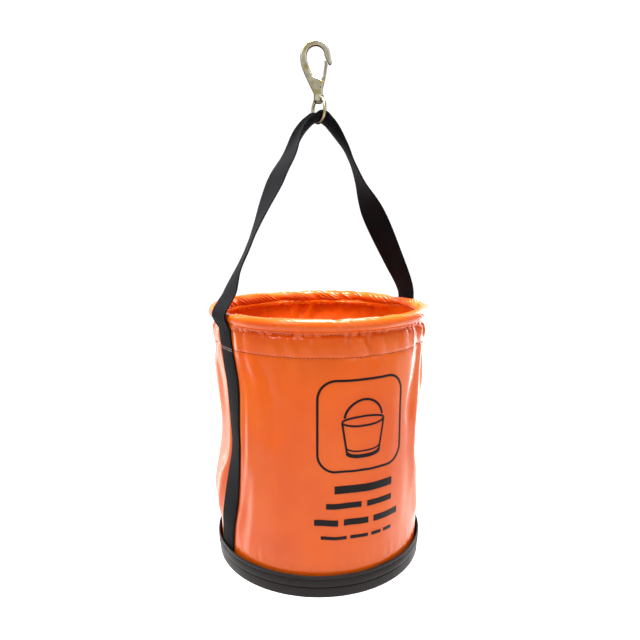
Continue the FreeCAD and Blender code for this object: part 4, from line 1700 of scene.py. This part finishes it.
@dataclass
class Studio:
    """Pale floor, backdrop, soft lights and the camera."""

    plan: Plan
    floor_drop: float = 0.25
    distance: float = 0.848
    camera_height: float = 0.498
    pitch: float = 12.2
    lens: float = 32.46
    shift_up: float = 0.0425
    shift_side: float = 0.002

    def stage(self) -> None:
        """Lay a floor that curves up into a backdrop behind the object."""
        floor = self.plan.base - self.floor_drop
        turn = np.radians(np.linspace(-90, 0, 16))
        curve = [(3.0 + 1.5 * math.cos(a), floor + 1.5 + 1.5 * math.sin(a)) for a in turn]
        profile = np.array([(-6.0, floor)] + curve + [(4.5, floor + 7.0)])
        rows = []
        for x in (-9.0, 9.0):
            rows.append([(x, y, z) for y, z in profile])
        points = rows[0] + rows[1]
        count = len(profile)
        faces = [(i, i + 1, count + i + 1, count + i) for i in range(count - 1)]
        mesh = bpy.data.meshes.new("studio_sweep")
        mesh.from_pydata(points, [], [face[::-1] for face in faces])
        mesh.polygons.foreach_set("use_smooth", np.ones(len(faces), bool))
        sweep = bpy.data.objects.new("studio_sweep", mesh)
        bpy.context.scene.collection.objects.link(sweep)
        paper = bpy.data.materials.new("white_paper_sweep")
        paper.use_nodes = True
        shader = paper.node_tree.nodes["Principled BSDF"]
        shader.inputs["Base Color"].default_value = linear("#BEBEBE")
        shader.inputs["Roughness"].default_value = 0.9
        shader.inputs["Emission Color"].default_value = (1.0, 1.0, 1.0, 1.0)
        place = add(paper.node_tree, "ShaderNodeTexCoord").outputs["Object"]
        depth = add(paper.node_tree, "ShaderNodeSeparateXYZ", {"Vector": place}).outputs["Y"]
        # Painted light: the sweep glows by its own emission, standing in for light from behind, and only
        # where it runs back and up.
        reach = {"Value": depth, "From Min": -0.25, "From Max": 0.05, "To Min": 0.1, "To Max": 0.7}
        painted_backlight_glow = add(paper.node_tree, "ShaderNodeMapRange", reach)
        paper.node_tree.links.new(painted_backlight_glow.outputs["Result"], shader.inputs["Emission Strength"])
        sweep.data.materials.append(paper)

    def light(
        self, name: str, place: tuple[float, float, float], size: tuple[float, float], power: float
    ) -> None:
        """Hang one soft box that faces the bucket.

        Args:
            name: Name of the light.
            place: Where it hangs, in metres.
            size: Width and height in metres.
            power: Watts.
        """
        lamp = bpy.data.lights.new(name, "AREA")
        lamp.shape = "RECTANGLE"
        lamp.size, lamp.size_y = size
        lamp.energy = power
        holder = bpy.data.objects.new(name, lamp)
        holder.location = place
        aim = Vector((0, 0, (self.plan.base + self.plan.hoop) / 2)) - Vector(place)
        holder.rotation_euler = aim.to_track_quat("-Z", "Y").to_euler()
        holder.visible_camera = False
        bpy.context.scene.collection.objects.link(holder)

    def build(self) -> None:
        """Set up the whole studio."""
        self.stage()
        self.light("key_softbox", (-1.0, -1.4, 1.0), (0.8, 0.7), 10.5)
        self.light("fill_softbox", (1.1, -1.6, 0.2), (1.0, 1.4), 5.0)
        self.light("left_softbox", (-1.25, 0.62, -0.35), (0.55, 1.8), 13.0)
        self.light("right_softbox", (1.05, 1.25, -0.35), (0.7, 1.8), 24.0)
        self.light("top_strip", (0.0, -0.3, 0.95), (1.3, 0.09), 27.0)
        self.light("top_fill", (0.0, 0.35, 1.2), (0.6, 0.4), 58.0)
        world = bpy.data.worlds.new("white_room")
        world.use_nodes = True
        world.node_tree.nodes["Background"].inputs["Color"].default_value = (1.0, 1.0, 1.0, 1.0)
        world.node_tree.nodes["Background"].inputs["Strength"].default_value = 0.36
        bpy.context.scene.world = world
        camera = bpy.data.cameras.new("camera")
        camera.lens, camera.sensor_width = self.lens, 36.0
        camera.shift_x, camera.shift_y = self.shift_side, self.shift_up
        holder = bpy.data.objects.new("camera", camera)
        holder.location = (0.0, -self.distance, self.plan.base + self.camera_height)
        holder.rotation_euler = (math.radians(90 - self.pitch), 0.0, 0.0)
        bpy.context.scene.collection.objects.link(holder)
        bpy.context.scene.camera = holder
        bpy.context.scene.view_settings.view_transform = "Standard"


def main() -> None:
    """Build every sub-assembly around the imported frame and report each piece."""
    logging.basicConfig(level=logging.INFO, format="%(message)s")
    plan = Plan.from_frame()
    shape = WallShape(plan)
    pan = BottomPan(plan)
    Studio(plan).build()
    makers = (
        VinylWall(shape), RimRoll(shape), pan, Handle(plan, shape),
        Stitching(plan, shape, pan), PrintedBadge(shape), Hardware(),
    )
    for maker in makers:
        for piece in maker.build():
            LOG.info("%s built %s", type(maker).__name__, piece.name)


if __name__ == "__main__":
    main()
